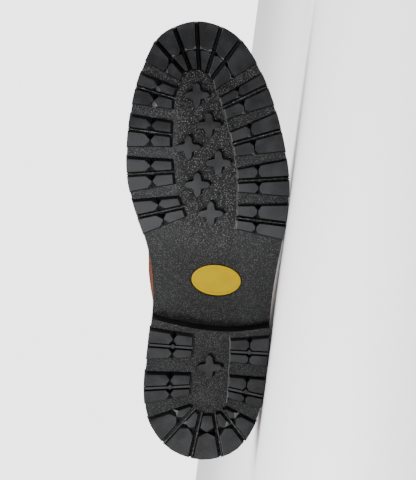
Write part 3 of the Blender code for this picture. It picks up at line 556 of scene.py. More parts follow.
@dataclass(frozen=True)
class Last:
    """The form that the upper is drawn over: ribs from the feather line up to ridge, throat and collar."""

    sole: SoleShape
    quarter_start: float = 0.498
    facing_end: float = 0.70
    vamp_wall: float = 2.2 * MM
    quarter_wall: float = 3.6 * MM
    throat_fullness: float = 0.36
    step: float = 0.004
    facing_step: float = 0.01
    rib_points: int = 80
    throat_points: int = 60
    crease_points: int = 24
    crease_fade: float = 0.7
    crease_end: float = 0.02
    ridge_height: float = 0.4
    ridge_place: float = 1.9

    @cached_property
    def loop(self) -> np.ndarray:
        """The feather line, where the last meets the sole, in plan."""
        places = [row.x * MM for row in LAST_INSET]
        insets = {side: [row.half_width(side) * MM for row in LAST_INSET] for side in Side}
        depths = []
        for index, (x, _) in enumerate(self.sole.loop):
            side = Side.MEDIAL if index <= self.sole.toe_index else Side.LATERAL
            depths.append(np.interp(x, places, insets[side]))
        return grown(self.sole.loop, -np.array(depths))

    @lru_cache(maxsize=None)
    def feather(self, side: Side) -> tuple[np.ndarray, np.ndarray]:
        """Points and outward normals along one side of the feather line, and the length at each."""
        points = self.sole.half(side, self.loop)
        normals = self.sole.half(side, outward(self.loop))
        return np.column_stack((points, normals)), running_lengths(points)

    @lru_cache(maxsize=None)
    def handles(self, side: Side, foot: float) -> tuple[Vector, Vector, Vector, Vector]:
        """The four points of the curve of the rib that starts at a share of the feather line."""
        columns, lengths = self.feather(side)
        x, y, normal_x, normal_y = (np.interp(foot * lengths[-1], lengths, column) for column in columns.T)
        out = Vector((normal_x, normal_y, 0)).normalized()
        top_x, top_y, top_z, rise, *bulges, reach, drop = smooth_row(foot, RIB_FEET, RIB_ROWS)
        bulge = bulges[0] if side is Side.MEDIAL else bulges[1]
        start = Vector((x, y, self.sole.top(x)))
        end = Vector((top_x, max(top_y, 0.0) * side.value, top_z)) * MM
        low = start + (out * bulge + Vector((0, 0, rise))) * MM
        high = end + (out * reach - Vector((0, 0, drop))) * MM
        return start, low, high, end

    def point(self, side: Side, foot: float, height: float) -> Vector:
        """Point on a rib at a share of its way up."""
        return bezier_point(*self.handles(side, foot), height)

    def normal(self, side: Side, foot: float, height: float) -> Vector:
        """Outward unit normal."""
        step = self.step
        up = self.point(side, foot, min(height + step, 1)) - self.point(side, foot, max(height - step, 0))
        back = self.point(side, min(foot + step, 1), height) - self.point(side, max(foot - step, 0), height)
        return (back.cross(up) * side.value).normalized()

    def foot_behind(self, side: Side, foot: float, height: float, distance: float) -> float:
        """Rib that lies a distance behind another one at a height."""
        ahead = self.point(side, foot + self.step, height) - self.point(side, foot - self.step, height)
        return foot + distance * 2 * self.step / ahead.length

    def height_from_top(self, side: Side, foot: float, distance: float) -> float:
        """Share of a rib's way up at which a distance is left to its top."""
        heights = np.linspace(1, 0, self.rib_points)
        points = np.array([self.point(side, foot, height) for height in heights])
        return float(np.interp(distance, running_lengths(points), heights))

    def from_top(self, side: Side, foot: float, distance: float) -> tuple[Vector, Vector]:
        """Point and normal at a distance below the top of a rib."""
        height = self.height_from_top(side, foot, distance)
        return self.point(side, foot, height), self.normal(side, foot, height)

    @lru_cache(maxsize=None)
    def bridge(self, foot: float, from_edge: float) -> tuple[Vector, ...]:
        """Curve over the throat, from the lateral facing to the medial, and the normals at its ends."""
        ends = []
        for side in (Side.LATERAL, Side.MEDIAL):
            height = self.height_from_top(side, foot, from_edge)
            above = self.point(side, foot, min(height + self.facing_step, 1))
            inwards = above - self.point(side, foot, height - self.facing_step)
            ends.append((*self.from_top(side, foot, from_edge), inwards.normalized()))
        (start, start_normal, out), (end, end_normal, back) = ends
        arm = (end - start).length * self.throat_fullness
        return start, start + out * arm, end + back * arm, end, start_normal, end_normal

    def across_throat(self, foot: float, from_edge: float, share: float) -> tuple[Vector, Vector]:
        """Point and normal on the bridge over the throat."""
        *curve, start_normal, end_normal = self.bridge(foot, from_edge)
        return bezier_point(*curve, share), start_normal.lerp(end_normal, share).normalized()

    def throat_feet(self, count: int, foot_room: float, head_room: float) -> np.ndarray:
        """Ribs evenly spaced along the throat.

        Args:
            count: how many.
            foot_room: length left free at the throat's foot.
            head_room: length left free at its head.

        Returns:
            The ribs' feet.
        """
        feet = np.linspace(self.quarter_start, self.facing_end, self.throat_points)
        lengths = running_lengths(np.array([self.point(Side.LATERAL, foot, 1) for foot in feet]))
        return np.interp(np.linspace(foot_room, lengths[-1] - head_room, count), lengths, feet)

    def crease_depths(self, points: np.ndarray) -> np.ndarray:
        """How far the creases push each of some points in, or their soft ridges push it out.

        Args:
            points: places on the last.

        Returns:
            A depth for each, in metres.
        """
        depths = np.zeros(len(points))
        shares = np.linspace(0, 1, self.crease_points)
        for crease in CREASES:
            feet = crease.start_foot + (crease.end_foot - crease.start_foot) * shares
            heights = crease.start_height + (crease.end_height - crease.start_height) * shares
            line = np.array([self.point(crease.side, foot, height) for foot, height in zip(feet, heights)])
            away = np.linalg.norm(points[:, None] - line[None], axis=2)
            nearest = np.argmin(away, axis=1)
            distance = away[np.arange(len(points)), nearest] / (crease.width * MM)
            # A crease that runs up to the ridge goes on over it, so it doesn't fade there.
            deepest = 0.5 if crease.end_height == 1 else 1 - self.crease_end
            fade = np.sin(np.pi * np.clip(shares, self.crease_end, deepest)) ** self.crease_fade
            trough = np.exp(-(distance**2))
            ridge = self.ridge_height * np.exp(-((distance - self.ridge_place) ** 2))
            depths += crease.depth * MM * fade[nearest] * (trough - ridge)
        return depths


class Placement:
    """Where the standing boot lies, from the frame's mounts on the heel's and the forepart's studs."""

    def __init__(self, record: dict) -> None:
        """Works out the placement.

        Args:
            record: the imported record, whose mounts lie on the two studs.
        """
        mounts = {mount["name"]: Vector(mount["pos_m"]) for mount in record["mounts"]}
        heel = Vector((*HEEL_STUD, 0)) * MM
        forefoot = Vector((*FOREPART_STUDS[MOUNT_STUD], 0)) * MM
        standing = forefoot - heel
        lying = mounts["forefoot_tread"] - mounts["heel_tread"]
        turn = math.atan2(lying.z, lying.x) - math.atan2(-standing.y, standing.x)
        along, across = math.cos(turn), math.sin(turn)
        rotation = Matrix(((along, across, 0), (0, 0, 1), (across, -along, 0)))
        self.matrix = Matrix.Translation(mounts["heel_tread"] - rotation @ heel) @ rotation.to_4x4()

    def point(self, x: float, y: float, z: float) -> Vector:
        """World place of a standing point."""
        return self.matrix @ Vector((x, y, z))

    def direction(self, x: float, y: float, z: float) -> Vector:
        """World direction of a standing one."""
        return self.matrix.to_3x3() @ Vector((x, y, z))


class Bench:
    """Blender's modelling operators, used as by hand."""

    @staticmethod
    def clear() -> None:
        """Leaves edit mode and deselects everything."""
        if bpy.context.object and bpy.context.object.mode != "OBJECT":
            bpy.ops.object.mode_set(mode="OBJECT")
        bpy.ops.object.select_all(action="DESELECT")

    @staticmethod
    def activate(piece: bpy.types.Object) -> None:
        """Makes a piece the only selected one."""
        Bench.clear()
        piece.select_set(True)
        bpy.context.view_layer.objects.active = piece

    @staticmethod
    def named(name: str) -> bpy.types.Object:
        """Names the primitive that was just added."""
        piece = bpy.context.object
        piece.name = piece.data.name = name
        return piece

    @staticmethod
    def edit(piece: bpy.types.Object) -> None:
        """Opens a piece in edit mode, all of it selected."""
        Bench.activate(piece)
        bpy.ops.object.mode_set(mode="EDIT")
        bpy.ops.mesh.select_mode(type="VERT")
        bpy.ops.mesh.select_all(action="SELECT")

    @staticmethod
    def empty_piece(name: str) -> bpy.types.Object:
        """An object with no geometry yet, open in edit mode.

        Args:
            name: its name.

        Returns:
            The object.
        """
        Bench.clear()
        bpy.ops.mesh.primitive_circle_add(vertices=3, fill_type="NGON")
        piece = Bench.named(name)
        bpy.ops.object.mode_set(mode="EDIT")
        bpy.ops.mesh.select_all(action="SELECT")
        bpy.ops.mesh.delete(type="VERT")
        return piece

    @staticmethod
    def prism(low: np.ndarray, low_z: float, high: np.ndarray, high_z: float) -> None:
        """Adds a closed block to the mesh in edit mode: a filled outline, extruded and shaped.

        Args:
            low: its lower outline in plan.
            low_z: that outline's height.
            high: its upper outline, of as many points.
            high_z: that outline's height.
        """
        bpy.ops.mesh.select_all(action="DESELECT")
        bpy.ops.mesh.primitive_circle_add(vertices=len(high), fill_type="NGON")
        data = bpy.context.edit_object.data
        mesh = bmesh.from_edit_mesh(data)
        rim = sorted((v for v in mesh.verts if v.select), key=lambda v: math.atan2(v.co.y, v.co.x))
        for vertex, (x, y) in zip(rim, high):
            vertex.co = (x, y, high_z)
        bmesh.update_edit_mesh(data)
        bpy.ops.mesh.extrude_region_move()
        mesh = bmesh.from_edit_mesh(data)
        for vertex in [v for v in mesh.verts if v.select]:
            nearest = int(np.argmin(np.linalg.norm(high - np.array(vertex.co.xy), axis=1)))
            vertex.co = (*low[nearest], low_z)
        bmesh.update_edit_mesh(data)

    @staticmethod
    def block(name: str, low: np.ndarray, low_z: float, high: np.ndarray, high_z: float) -> bpy.types.Object:
        """Models a closed block of its own, shaped as prism says.

        Returns:
            The block.
        """
        piece = Bench.empty_piece(name)
        Bench.prism(low, low_z, high, high_z)
        Bench.outward_faces(piece)
        return piece

    @staticmethod
    def linked(name: str, data: bpy.types.ID) -> bpy.types.Object:
        """A new object in the scene that shows some data."""
        piece = bpy.data.objects.new(name, data)
        bpy.context.scene.collection.objects.link(piece)
        return piece

    @staticmethod
    def grid(name: str, columns: int, rows: int, place: Callable[[int, int], Vector]) -> bpy.types.Object:
        """Adds a grid and lays its points where they belong.

        Args:
            name: the object's name.
            columns: how many faces it has one way.
            rows: how many it has the other way.
            place: gives the place of a point by its column and row.

        Returns:
            The object.
        """
        Bench.clear()
        bpy.ops.mesh.primitive_grid_add(x_subdivisions=columns, y_subdivisions=rows, size=1)
        piece = Bench.named(name)
        for vertex in piece.data.vertices:
            column, row = round((vertex.co.x + 0.5) * columns), round((vertex.co.y + 0.5) * rows)
            vertex.co = place(column, row)
        return piece

    @staticmethod
    def cut(piece: bpy.types.Object, cutter: bpy.types.Object) -> None:
        """Cuts a piece with another one, which is used up."""
        Bench.outward_faces(cutter)
        Bench.modify(piece, "BOOLEAN", operation="DIFFERENCE", solver="EXACT", object=cutter)
        bpy.data.objects.remove(cutter)

    @staticmethod
    def slice_along(piece: bpy.types.Object, places: Iterable[float]) -> None:
        """Slices a piece across at places along x, so that it can be bent there."""
        Bench.edit(piece)
        for x in places:
            bpy.ops.mesh.select_all(action="SELECT")
            bpy.ops.mesh.bisect(plane_co=(x, 0, 0), plane_no=(1, 0, 0))
        Bench.clear()

    @staticmethod
    def select_faces(piece: bpy.types.Object, wanted: Callable[[bmesh.types.BMFace], bool]) -> None:
        """Opens a piece in edit mode and selects faces by their place or normal.

        Args:
            piece: the mesh object.
            wanted: says which faces.
        """
        Bench.edit(piece)
        bpy.ops.mesh.select_mode(type="FACE")
        bpy.ops.mesh.select_all(action="DESELECT")
        mesh = bmesh.from_edit_mesh(piece.data)
        for face in filter(wanted, mesh.faces):
            face.select_set(True)
        bmesh.update_edit_mesh(piece.data)

    @staticmethod
    def outward_faces(piece: bpy.types.Object, merge: float = 0.0) -> None:
        """Turns all faces outwards.

        Args:
            piece: the mesh object.
            merge: points that lie closer than this are merged first.
        """
        Bench.edit(piece)
        if merge:
            bpy.ops.mesh.remove_doubles(threshold=merge)
        bpy.ops.mesh.normals_make_consistent(inside=False)
        Bench.clear()

    @staticmethod
    def modify(piece: bpy.types.Object, kind: str, **settings: object) -> None:
        """Adds a modifier and applies it.

        Args:
            piece: the mesh object.
            kind: the modifier's type.
            settings: its values.
        """
        Bench.activate(piece)
        modifier = piece.modifiers.new(kind.lower(), kind)
        for key, value in settings.items():
            setattr(modifier, key, value)
        bpy.ops.object.modifier_apply(modifier=modifier.name)

    @staticmethod
    def round_edges(piece: bpy.types.Object, width: float, angle_deg: float) -> None:
        """Rounds the edges whose faces meet at more than an angle."""
        angle = math.radians(angle_deg)
        Bench.modify(piece, "BEVEL", width=width, segments=2, limit_method="ANGLE", angle_limit=angle)

    @staticmethod
    def join(pieces: Sequence[bpy.types.Object]) -> bpy.types.Object:
        """Joins pieces into the first one."""
        Bench.clear()
        for piece in pieces:
            piece.select_set(True)
        bpy.context.view_layer.objects.active = pieces[0]
        bpy.ops.object.join()
        return pieces[0]

    @staticmethod
    def smooth(piece: bpy.types.Object, angle_deg: float) -> None:
        """Shades faces smooth where they meet at less than an angle."""
        Bench.activate(piece)
        bpy.ops.object.shade_smooth_by_angle(angle=math.radians(angle_deg))


class Value:
    """A shader socket that takes part in Python arithmetic."""

    def __init__(self, graph: Graph, socket: bpy.types.NodeSocket) -> None:
        """Wraps an output socket of a graph."""
        self.graph = graph
        self.socket = socket

    def _math(self, operation: str, *terms: Value | float) -> Value:
        """Output of a new Math node with these inputs."""
        return self.graph.node("ShaderNodeMath", 0, {"operation": operation}, dict(enumerate(terms)))

    def __add__(self, other: Value | float) -> Value:
        """Sum."""
        return self._math("ADD", self, other)

    def __radd__(self, other: float) -> Value:
        """Sum with a number first."""
        return self._math("ADD", other, self)

    def __sub__(self, other: Value | float) -> Value:
        """Difference."""
        return self._math("SUBTRACT", self, other)

    def __rsub__(self, other: float) -> Value:
        """Difference from a number."""
        return self._math("SUBTRACT", other, self)

    def __mul__(self, other: Value | float) -> Value:
        """Product."""
        return self._math("MULTIPLY", self, other)

    def step(self, low: float, high: float) -> Value:
        """Smooth rise from 0 at low to 1 at high, or a fall where low is above high."""
        if low > high:
            return 1 - self.step(high, low)
        sockets = {"Value": self, "From Min": low, "From Max": high}
        return self.graph.node("ShaderNodeMapRange", "Result", {"interpolation_type": "SMOOTHSTEP"}, sockets)


class Graph:
    """A node tree under construction."""

    def __init__(self, tree: bpy.types.NodeTree) -> None:
        """Starts with the nodes that the tree has."""
        self.tree = tree

    def node(
        self, kind: str, output: str | int = 0, settings: dict | None = None, sockets: dict | None = None
    ) -> Value:
        """Adds a node.

        Args:
            kind: the node's type.
            output: name or number of the output that is wanted.
            settings: values set on the node itself.
            sockets: values or links of its inputs, by name or number.

        Returns:
            The output.
        """
        node = self.tree.nodes.new(kind)
        for key, value in (settings or {}).items():
            setattr(node, key, value)
        for key, value in (sockets or {}).items():
            self.feed(node.inputs[key], value)
        return Value(self, node.outputs[output])

    def feed(self, entry: bpy.types.NodeSocket, value: Value | float | Colour) -> None:
        """Links a value to an input, or sets it."""
        if isinstance(value, Value):
            self.tree.links.new(value.socket, entry)
        elif isinstance(value, tuple) and len(value) == 3 and entry.type == "RGBA":
            entry.default_value = (*value, 1)
        else:
            entry.default_value = value


class Shader(Graph):
    """A material under construction: one Principled shader and the nodes that feed it."""

    def __init__(self, name: str) -> None:
        """Starts a material.

        Args:
            name: its name.
        """
        self.material = bpy.data.materials.new(name)
        self.material.use_nodes = True
        super().__init__(self.material.node_tree)
        self.surface = self.tree.nodes["Principled BSDF"]

    @cached_property
    def place(self) -> Value:
        """Object coordinates."""
        return self.node("ShaderNodeTexCoord", "Object")

    def axis(self, name: str) -> Value:
        """One coordinate."""
        return self.node("ShaderNodeSeparateXYZ", name, sockets={"Vector": self.place})

    def noise(self, per_metre: float, detail: float) -> Value:
        """Soft noise, about 0.5, with so many features in a metre."""
        sockets = {"Vector": self.place, "Scale": per_metre, "Detail": detail}
        return self.node("ShaderNodeTexNoise", "Fac", sockets=sockets)

    def cells(self, per_metre: float, output: str = "Distance", feature: str = "F1") -> Value:
        """Cells with so many in a metre."""
        sockets = {"Vector": self.place, "Scale": per_metre}
        return self.node("ShaderNodeTexVoronoi", output, {"feature": feature}, sockets)

    def blend(self, share: Value, first: Colour | Value, second: Colour | Value) -> Value:
        """Mixes two colours, through the sockets that a Mix node has for them."""
        return self.node("ShaderNodeMix", 2, {"data_type": "RGBA"}, {0: share, 6: first, 7: second})

    def bump(self, height: Value, depth: float, strength: float = 1.0) -> Value:
        """Bumps of a depth in metres."""
        sockets = {"Height": height, "Distance": depth, "Strength": strength}
        return self.node("ShaderNodeBump", sockets=sockets)

    def finish(self, **inputs: Value | float | Colour) -> bpy.types.Material:
        """Feeds the Principled shader.

        Args:
            inputs: its inputs, with underscores for spaces in their names.

        Returns:
            The material.
        """
        for key, value in inputs.items():
            self.feed(self.surface.inputs[key.replace("_", " ")], value)
        return self.material


@dataclass(frozen=True)
class Finish:
    """A finish, whose material is made when it is first used."""

    name: str

    @cached_property
    def material(self) -> bpy.types.Material:
        """The finish's material."""
        shader = Shader(self.name)
        return shader.finish(**self.inputs(shader))

    def inputs(self, shader: Shader) -> Inputs:
        """Inputs of the Principled shader."""
        raise NotImplementedError


@dataclass(frozen=True)
class RubberFinish(Finish):
    """Charcoal rubber, smooth as on lugs or pebbled as on the floors between them."""

    colour: Colour
    worn: Colour
    roughness: float
    specular: float
    pebbles_per_metre: float = 0.0
    speck_and_glint: Colour = (0.0, 0.0, 0.0)
    pebble_depth: float = 0.0
    finer: float = 1.3

    def inputs(self, shader: Shader) -> Inputs:
        """Inputs of the rubber's shader."""
        return self.pebbled(shader) if self.pebbles_per_metre else self.smooth(shader)

    @staticmethod
    def places(shader: Shader) -> tuple[Value, Value, Value]:
        """Place along the lying boot, breadth across its sole, and 1 in the forepart but 0 behind it."""
        along = shader.axis("X")
        return along, shader.axis("Z") - along * LIE_SLOPE, along.step(-0.02, 0.03)

    def smooth(self, shader: Shader) -> Inputs:
        """Rubber of lugs and walls: mottled wear, with painted light under the ball and most on its medial
        side, and painted shade towards the toe and the heel.

        Args:
            shader: the material under construction.

        Returns:
            The shader's inputs.
        """
        along, breadth, forepart = self.places(shader)
        clouds = shader.noise(70, 5)
        fine = shader.noise(1400, 2)
        # Painted light and shade: lighter under the ball, most on its medial side, darker at the toe and the
        # heel; the mottle is random wear.
        ball = along.step(0.09, 0.02) * (along.step(-0.1, 0.0) * 0.97 + 0.03)
        medial = breadth.step(0.06, 0.09) * forepart
        mottle = clouds.step(0.36, 0.66) * 0.42 + fine.step(0.35, 0.65) * 0.2
        wear = mottle + ball * (medial * 0.45 + 0.58)
        return dict(
            Base_Color=shader.blend(wear, self.colour, self.worn),
            Roughness=self.roughness + clouds * 0.16 - 0.08,
            Specular_IOR_Level=self.specular,
            Normal=shader.bump(fine, 0.05 * MM, 0.6),
        )

    def pebbled(self, shader: Shader) -> Inputs:
        """Rubber of the floors, with coarse pebbles down the forepart's middle and finer ones elsewhere.

        Args:
            shader: the material under construction.

        Returns:
            The shader's inputs.
        """
        along, breadth, forepart = self.places(shader)
        fine = shader.noise(1400, 2)
        medial_strip = breadth.step(0.072, 0.08)
        lateral_strip = breadth.step(0.035, 0.029)
        coarse = forepart * (1 - medial_strip - lateral_strip)
        coarse_shine, coarse_height = self.pebbles(shader, self.pebbles_per_metre)
        fine_shine, fine_height = self.pebbles(shader, self.pebbles_per_metre * self.finer)
        shine = coarse_shine * coarse + fine_shine * (1 - coarse) * (forepart * 0.35 + 0.55)
        height = coarse_height * coarse + fine_height * (1 - coarse) * 0.6
        # Painted light and shade: the floors are lighter in the forepart, more so on the ball's medial side
        # and in the strips along the channel, and darker towards the toe.
        ball = forepart * (breadth.step(0.06, 0.08) * 0.16 + 0.18)
        strips = medial_strip * (forepart * 0.38 + 0.2) + lateral_strip * 0.38
        light = (0.12 + ball + strips) * (1 - along.step(0.05, 0.11) * 0.6)
        base = shader.blend(light, self.colour, self.worn)
        return dict(
            Base_Color=shader.blend(shine, base, self.speck_and_glint),
            Roughness=self.roughness - shine * 0.15,
            Specular_IOR_Level=self.specular,
            Normal=shader.bump(height + fine * 0.3, self.pebble_depth),
        )

    @staticmethod
    def pebbles(shader: Shader, per_metre: float) -> tuple[Value, Value]:
        """Shine and height of pebbles; the shine is a painted highlight on each pebble's top, of random
        strength.

        Args:
            shader: the material under construction.
            per_metre: how many there are in a metre.

        Returns:
            The shine and the height, from 0 to 1.
        """
        pebble = shader.cells(per_metre)
        tint = shader.cells(per_metre, "Color")
        shade = shader.node("ShaderNodeSeparateColor", sockets={"Color": tint})
        return pebble.step(0.56, 0.18) * shade, pebble.step(0.62, 0.05)


@dataclass(frozen=True)
class LeatherFinish(Finish):
    """Smooth leather with its grain, cloudy colour and dark troughs."""

    colour: Colour
    cloud: Colour
    dark: Colour
    roughness: float = 0.6
    grain_per_metre: float = 1150.0
    coat: float = 0.0

    def gloss(self, shader: Shader) -> Value:
        """Weight of the polish, which is rubbed off low down at the waist."""
        along, high = shader.axis("X"), shader.axis("Y")
        waist = along.step(-0.12, -0.07) * along.step(0.08, 0.03)
        return (1 - waist * high.step(0.03, -0.03)) * self.coat

    def inputs(self, shader: Shader) -> Inputs:
        """Inputs of the leather's shader."""
        clouds = shader.noise(26, 4)
        mottle = shader.noise(210, 4)
        grain = shader.cells(self.grain_per_metre, feature="SMOOTH_F1")
        pores = shader.noise(2.3 * self.grain_per_metre, 2)
        base = shader.blend(clouds.step(0.32, 0.72), self.colour, self.cloud)
        base = shader.blend(mottle.step(0.55, 0.85) * 0.5, base, self.dark)
        base = shader.blend(grain.step(0.45, 0.8) * 0.35, base, self.dark)
        height = grain.step(0.8, 0.1) + pores * 0.3
        return dict(
            Base_Color=base,
            Roughness=self.roughness + clouds * 0.18 - 0.09,
            Specular_IOR_Level=0.0,
            Coat_Weight=self.gloss(shader) if self.coat else 0.0,
            Coat_Roughness=0.32,
            Normal=shader.bump(height, 0.09 * MM, 0.8),
        )


@dataclass(frozen=True)
class ThreadFinish(Finish):
    """Fuzzy thread or cord."""

    colour: Colour
    dark: Colour

    def inputs(self, shader: Shader) -> Inputs:
        """Inputs of the thread's shader."""
        fuzz = shader.noise(2600, 3)
        tint = shader.noise(160, 3)
        base = shader.blend(tint.step(0.3, 0.75) * 0.7, self.colour, self.dark)
        base = shader.blend(fuzz.step(0.5, 0.75) * 0.5, base, self.dark)
        return dict(
            Base_Color=base, Roughness=0.78 + fuzz * 0.15 - 0.07, Normal=shader.bump(fuzz, 0.12 * MM)
        )


@dataclass(frozen=True)
class MetalFinish(Finish):
    """Satin metal with faint wear."""

    colour: Colour
    dull: Colour

    def inputs(self, shader: Shader) -> Inputs:
        """Inputs of the metal's shader."""
        wear = shader.noise(420, 5)
        scratches = shader.noise(3200, 2)
        return dict(
            Base_Color=shader.blend(wear.step(0.4, 0.7), self.colour, self.dull),
            Metallic=1.0,
            Roughness=0.3 + wear * 0.2 - 0.05,
            Normal=shader.bump(scratches, 0.02 * MM, 0.4),
        )


@dataclass(frozen=True)
class PlugFinish(Finish):
    """Bright moulded plastic of the inset."""

    colour: Colour = (0.43, 0.29, 0.0)
    deep: Colour = (0.39, 0.245, 0.0)

    def inputs(self, shader: Shader) -> Inputs:
        """Inputs of the plug's shader."""
        clouds = shader.noise(120, 4)
        fine = shader.noise(1500, 2)
        return dict(
            Base_Color=shader.blend(clouds.step(0.4, 0.8) * 0.6, self.colour, self.deep),
            Roughness=0.42 + clouds * 0.12 - 0.06,
            Specular_IOR_Level=0.06,
            Normal=shader.bump(fine, 0.05 * MM, 0.6),
        )


RUBBERS = {
    Surface.WORN: RubberFinish("worn_rubber", (0.0048, 0.0049, 0.0054), (0.0356, 0.0361, 0.0390), 0.52, 0.2),
    # Pebbled floor; its light specks are partly random tone and partly painted highlight.
    Surface.PEBBLED: RubberFinish(
        "pebbled_rubber", (0.0055, 0.0056, 0.0060), (0.0230, 0.0237, 0.0256), 0.5, 0.2,
        1000.0, (0.27, 0.27, 0.266), 0.8 * MM,
    ),
    # Near-black painted shade for lug walls, the breast, the plug's recess and the toe grooves.
    Surface.WALL: RubberFinish("painted_shade_rubber", (0.0036, 0.0036, 0.0038), (0.0056, 0.0056, 0.0058), 0.5, 0.15),
    # Ribs in bright-pebbled rubber, a painted highlight along the grooves.
    Surface.RIB: RubberFinish(
        "rib_highlight_rubber", (0.008, 0.008, 0.008), (0.022, 0.022, 0.022), 0.45, 0.3,
        700.0, (0.36, 0.36, 0.35), 0.5 * MM,
    ),
    Surface.POINT: RubberFinish("point_rubber", (0.013, 0.0132, 0.014), (0.028, 0.0284, 0.030), 0.42, 0.3),
    # Light grey painted highlight, on facets and edges turned to the light.
    Surface.RUBBED: RubberFinish("painted_highlight_rubber", (0.150, 0.151, 0.155), (0.220, 0.221, 0.226), 0.42, 0.3),
}
UPPER_LEATHER = LeatherFinish(
    "russet_leather", (0.092, 0.036, 0.0230), (0.118, 0.048, 0.0310), (0.051, 0.020, 0.013), coat=0.35
)
TONGUE_LEATHER = LeatherFinish(
    "tongue_leather", (0.082, 0.032, 0.021), (0.106, 0.043, 0.028), (0.046, 0.018, 0.012), coat=0.25
)
LINING_LEATHER = LeatherFinish(
    "lining_leather", (0.40, 0.25, 0.14), (0.46, 0.30, 0.18), (0.27, 0.16, 0.085), 0.62, 1500.0
)
EDGE_LEATHER = LeatherFinish(
    "cut_edge", (0.13, 0.048, 0.022), (0.17, 0.062, 0.028), (0.07, 0.025, 0.012), 0.6, 2400.0
)
WELT_LEATHER = LeatherFinish(
    "welt_leather", (0.17, 0.066, 0.030), (0.22, 0.090, 0.042), (0.085, 0.032, 0.016), 0.5, 1700.0
)
INSOLE_LEATHER = LeatherFinish(
    "insole_leather", (0.42, 0.27, 0.15), (0.47, 0.31, 0.18), (0.30, 0.18, 0.10), 0.66, 1300.0
)
LACE_BRAID = ThreadFinish("lace_braid", (0.062, 0.036, 0.024), (0.028, 0.017, 0.012))
SEAM_THREAD = ThreadFinish("seam_thread", (0.34, 0.20, 0.095), (0.20, 0.11, 0.05))
WELT_THREAD = ThreadFinish("welt_thread", (0.55, 0.42, 0.26), (0.36, 0.26, 0.15))
EYELET_BRASS = MetalFinish("eyelet_brass", (0.56, 0.38, 0.16), (0.36, 0.23, 0.09))
INSET_PLUG = PlugFinish("amber_plug")


def settle(piece: bpy.types.Object, placement: Placement, slot: str, *nodes: str) -> None:
    """Lays a finished piece down, its place in its mesh, and hides the solids that it stands for.

    Args:
        piece: the standing piece.
        placement: where the boot lies.
        slot: the piece's material slot in the record; not used.
        nodes: the solids that it replaces.
    """
    piece.matrix_world = placement.matrix
    Bench.activate(piece)
    bpy.ops.object.transform_apply()
    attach(piece, "root")
    if nodes:
        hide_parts(*nodes)
    LOG.info("%s: %d faces", piece.name, len(piece.data.polygons))


def lift_to_sole(piece: bpy.types.Object, sole: SoleShape, base: float) -> None:
    """Bends a flat piece to the sole's curve and raises it."""
    for vertex in piece.data.vertices:
        vertex.co.z += sole.lift(vertex.co.x) + base


@dataclass
class Plug:
    """Plain oval plug in the waist of the outsole."""

    sole: SoleShape
    placement: Placement
    centre: tuple[float, float] = (125.5 * MM, 6.9 * MM)
    turn: float = math.radians(4.5)
    length: float = 34.8 * MM
    width: float = 21.3 * MM
    slack: float = 0.8 * MM
    depth: float = 1.6 * MM
    rim: float = 1.5 * MM
    sink: float = 0.45 * MM
    rounding: float = 0.22 * MM

    def oval(self, name: str, margin: float, thickness: float) -> bpy.types.Object:
        """Adds an oval disc about the height of the sole's floor.

        Args:
            name: its name.
            margin: how far it is larger than the plug, all round.
            thickness: its thickness.

        Returns:
            The disc.
        """
        Bench.clear()
        place = (*self.centre, 0)
        bpy.ops.mesh.primitive_cylinder_add(vertices=72, radius=0.5, depth=thickness, location=place)
        disc = Bench.named(name)
        disc.scale = (self.width + 2 * margin, self.length + 2 * margin, 1)
        disc.rotation_euler.z = self.turn
        bpy.ops.object.transform_apply()
        return disc

    def build(self) -> None:
        """Models the plug with its face sunk inside a rim, and lays it down."""
        thickness = self.depth - self.sole.gap
        piece = self.oval("amber_plug", 0, thickness)
        Bench.select_faces(piece, lambda face: face.normal.z < DOWNWARDS)
        bpy.ops.mesh.inset(thickness=self.rim)
        bpy.ops.mesh.inset(thickness=self.sink, depth=-self.sink)
        Bench.clear()
        Bench.round_edges(piece, self.rounding, 30)
        piece.data.materials.append(INSET_PLUG.material)
        Bench.slice_along(piece, self.sole.bends)
        lift_to_sole(piece, self.sole, thickness / 2)
        Bench.smooth(piece, 30)
        settle(piece, self.placement, "amber_inset", "waist_inset")


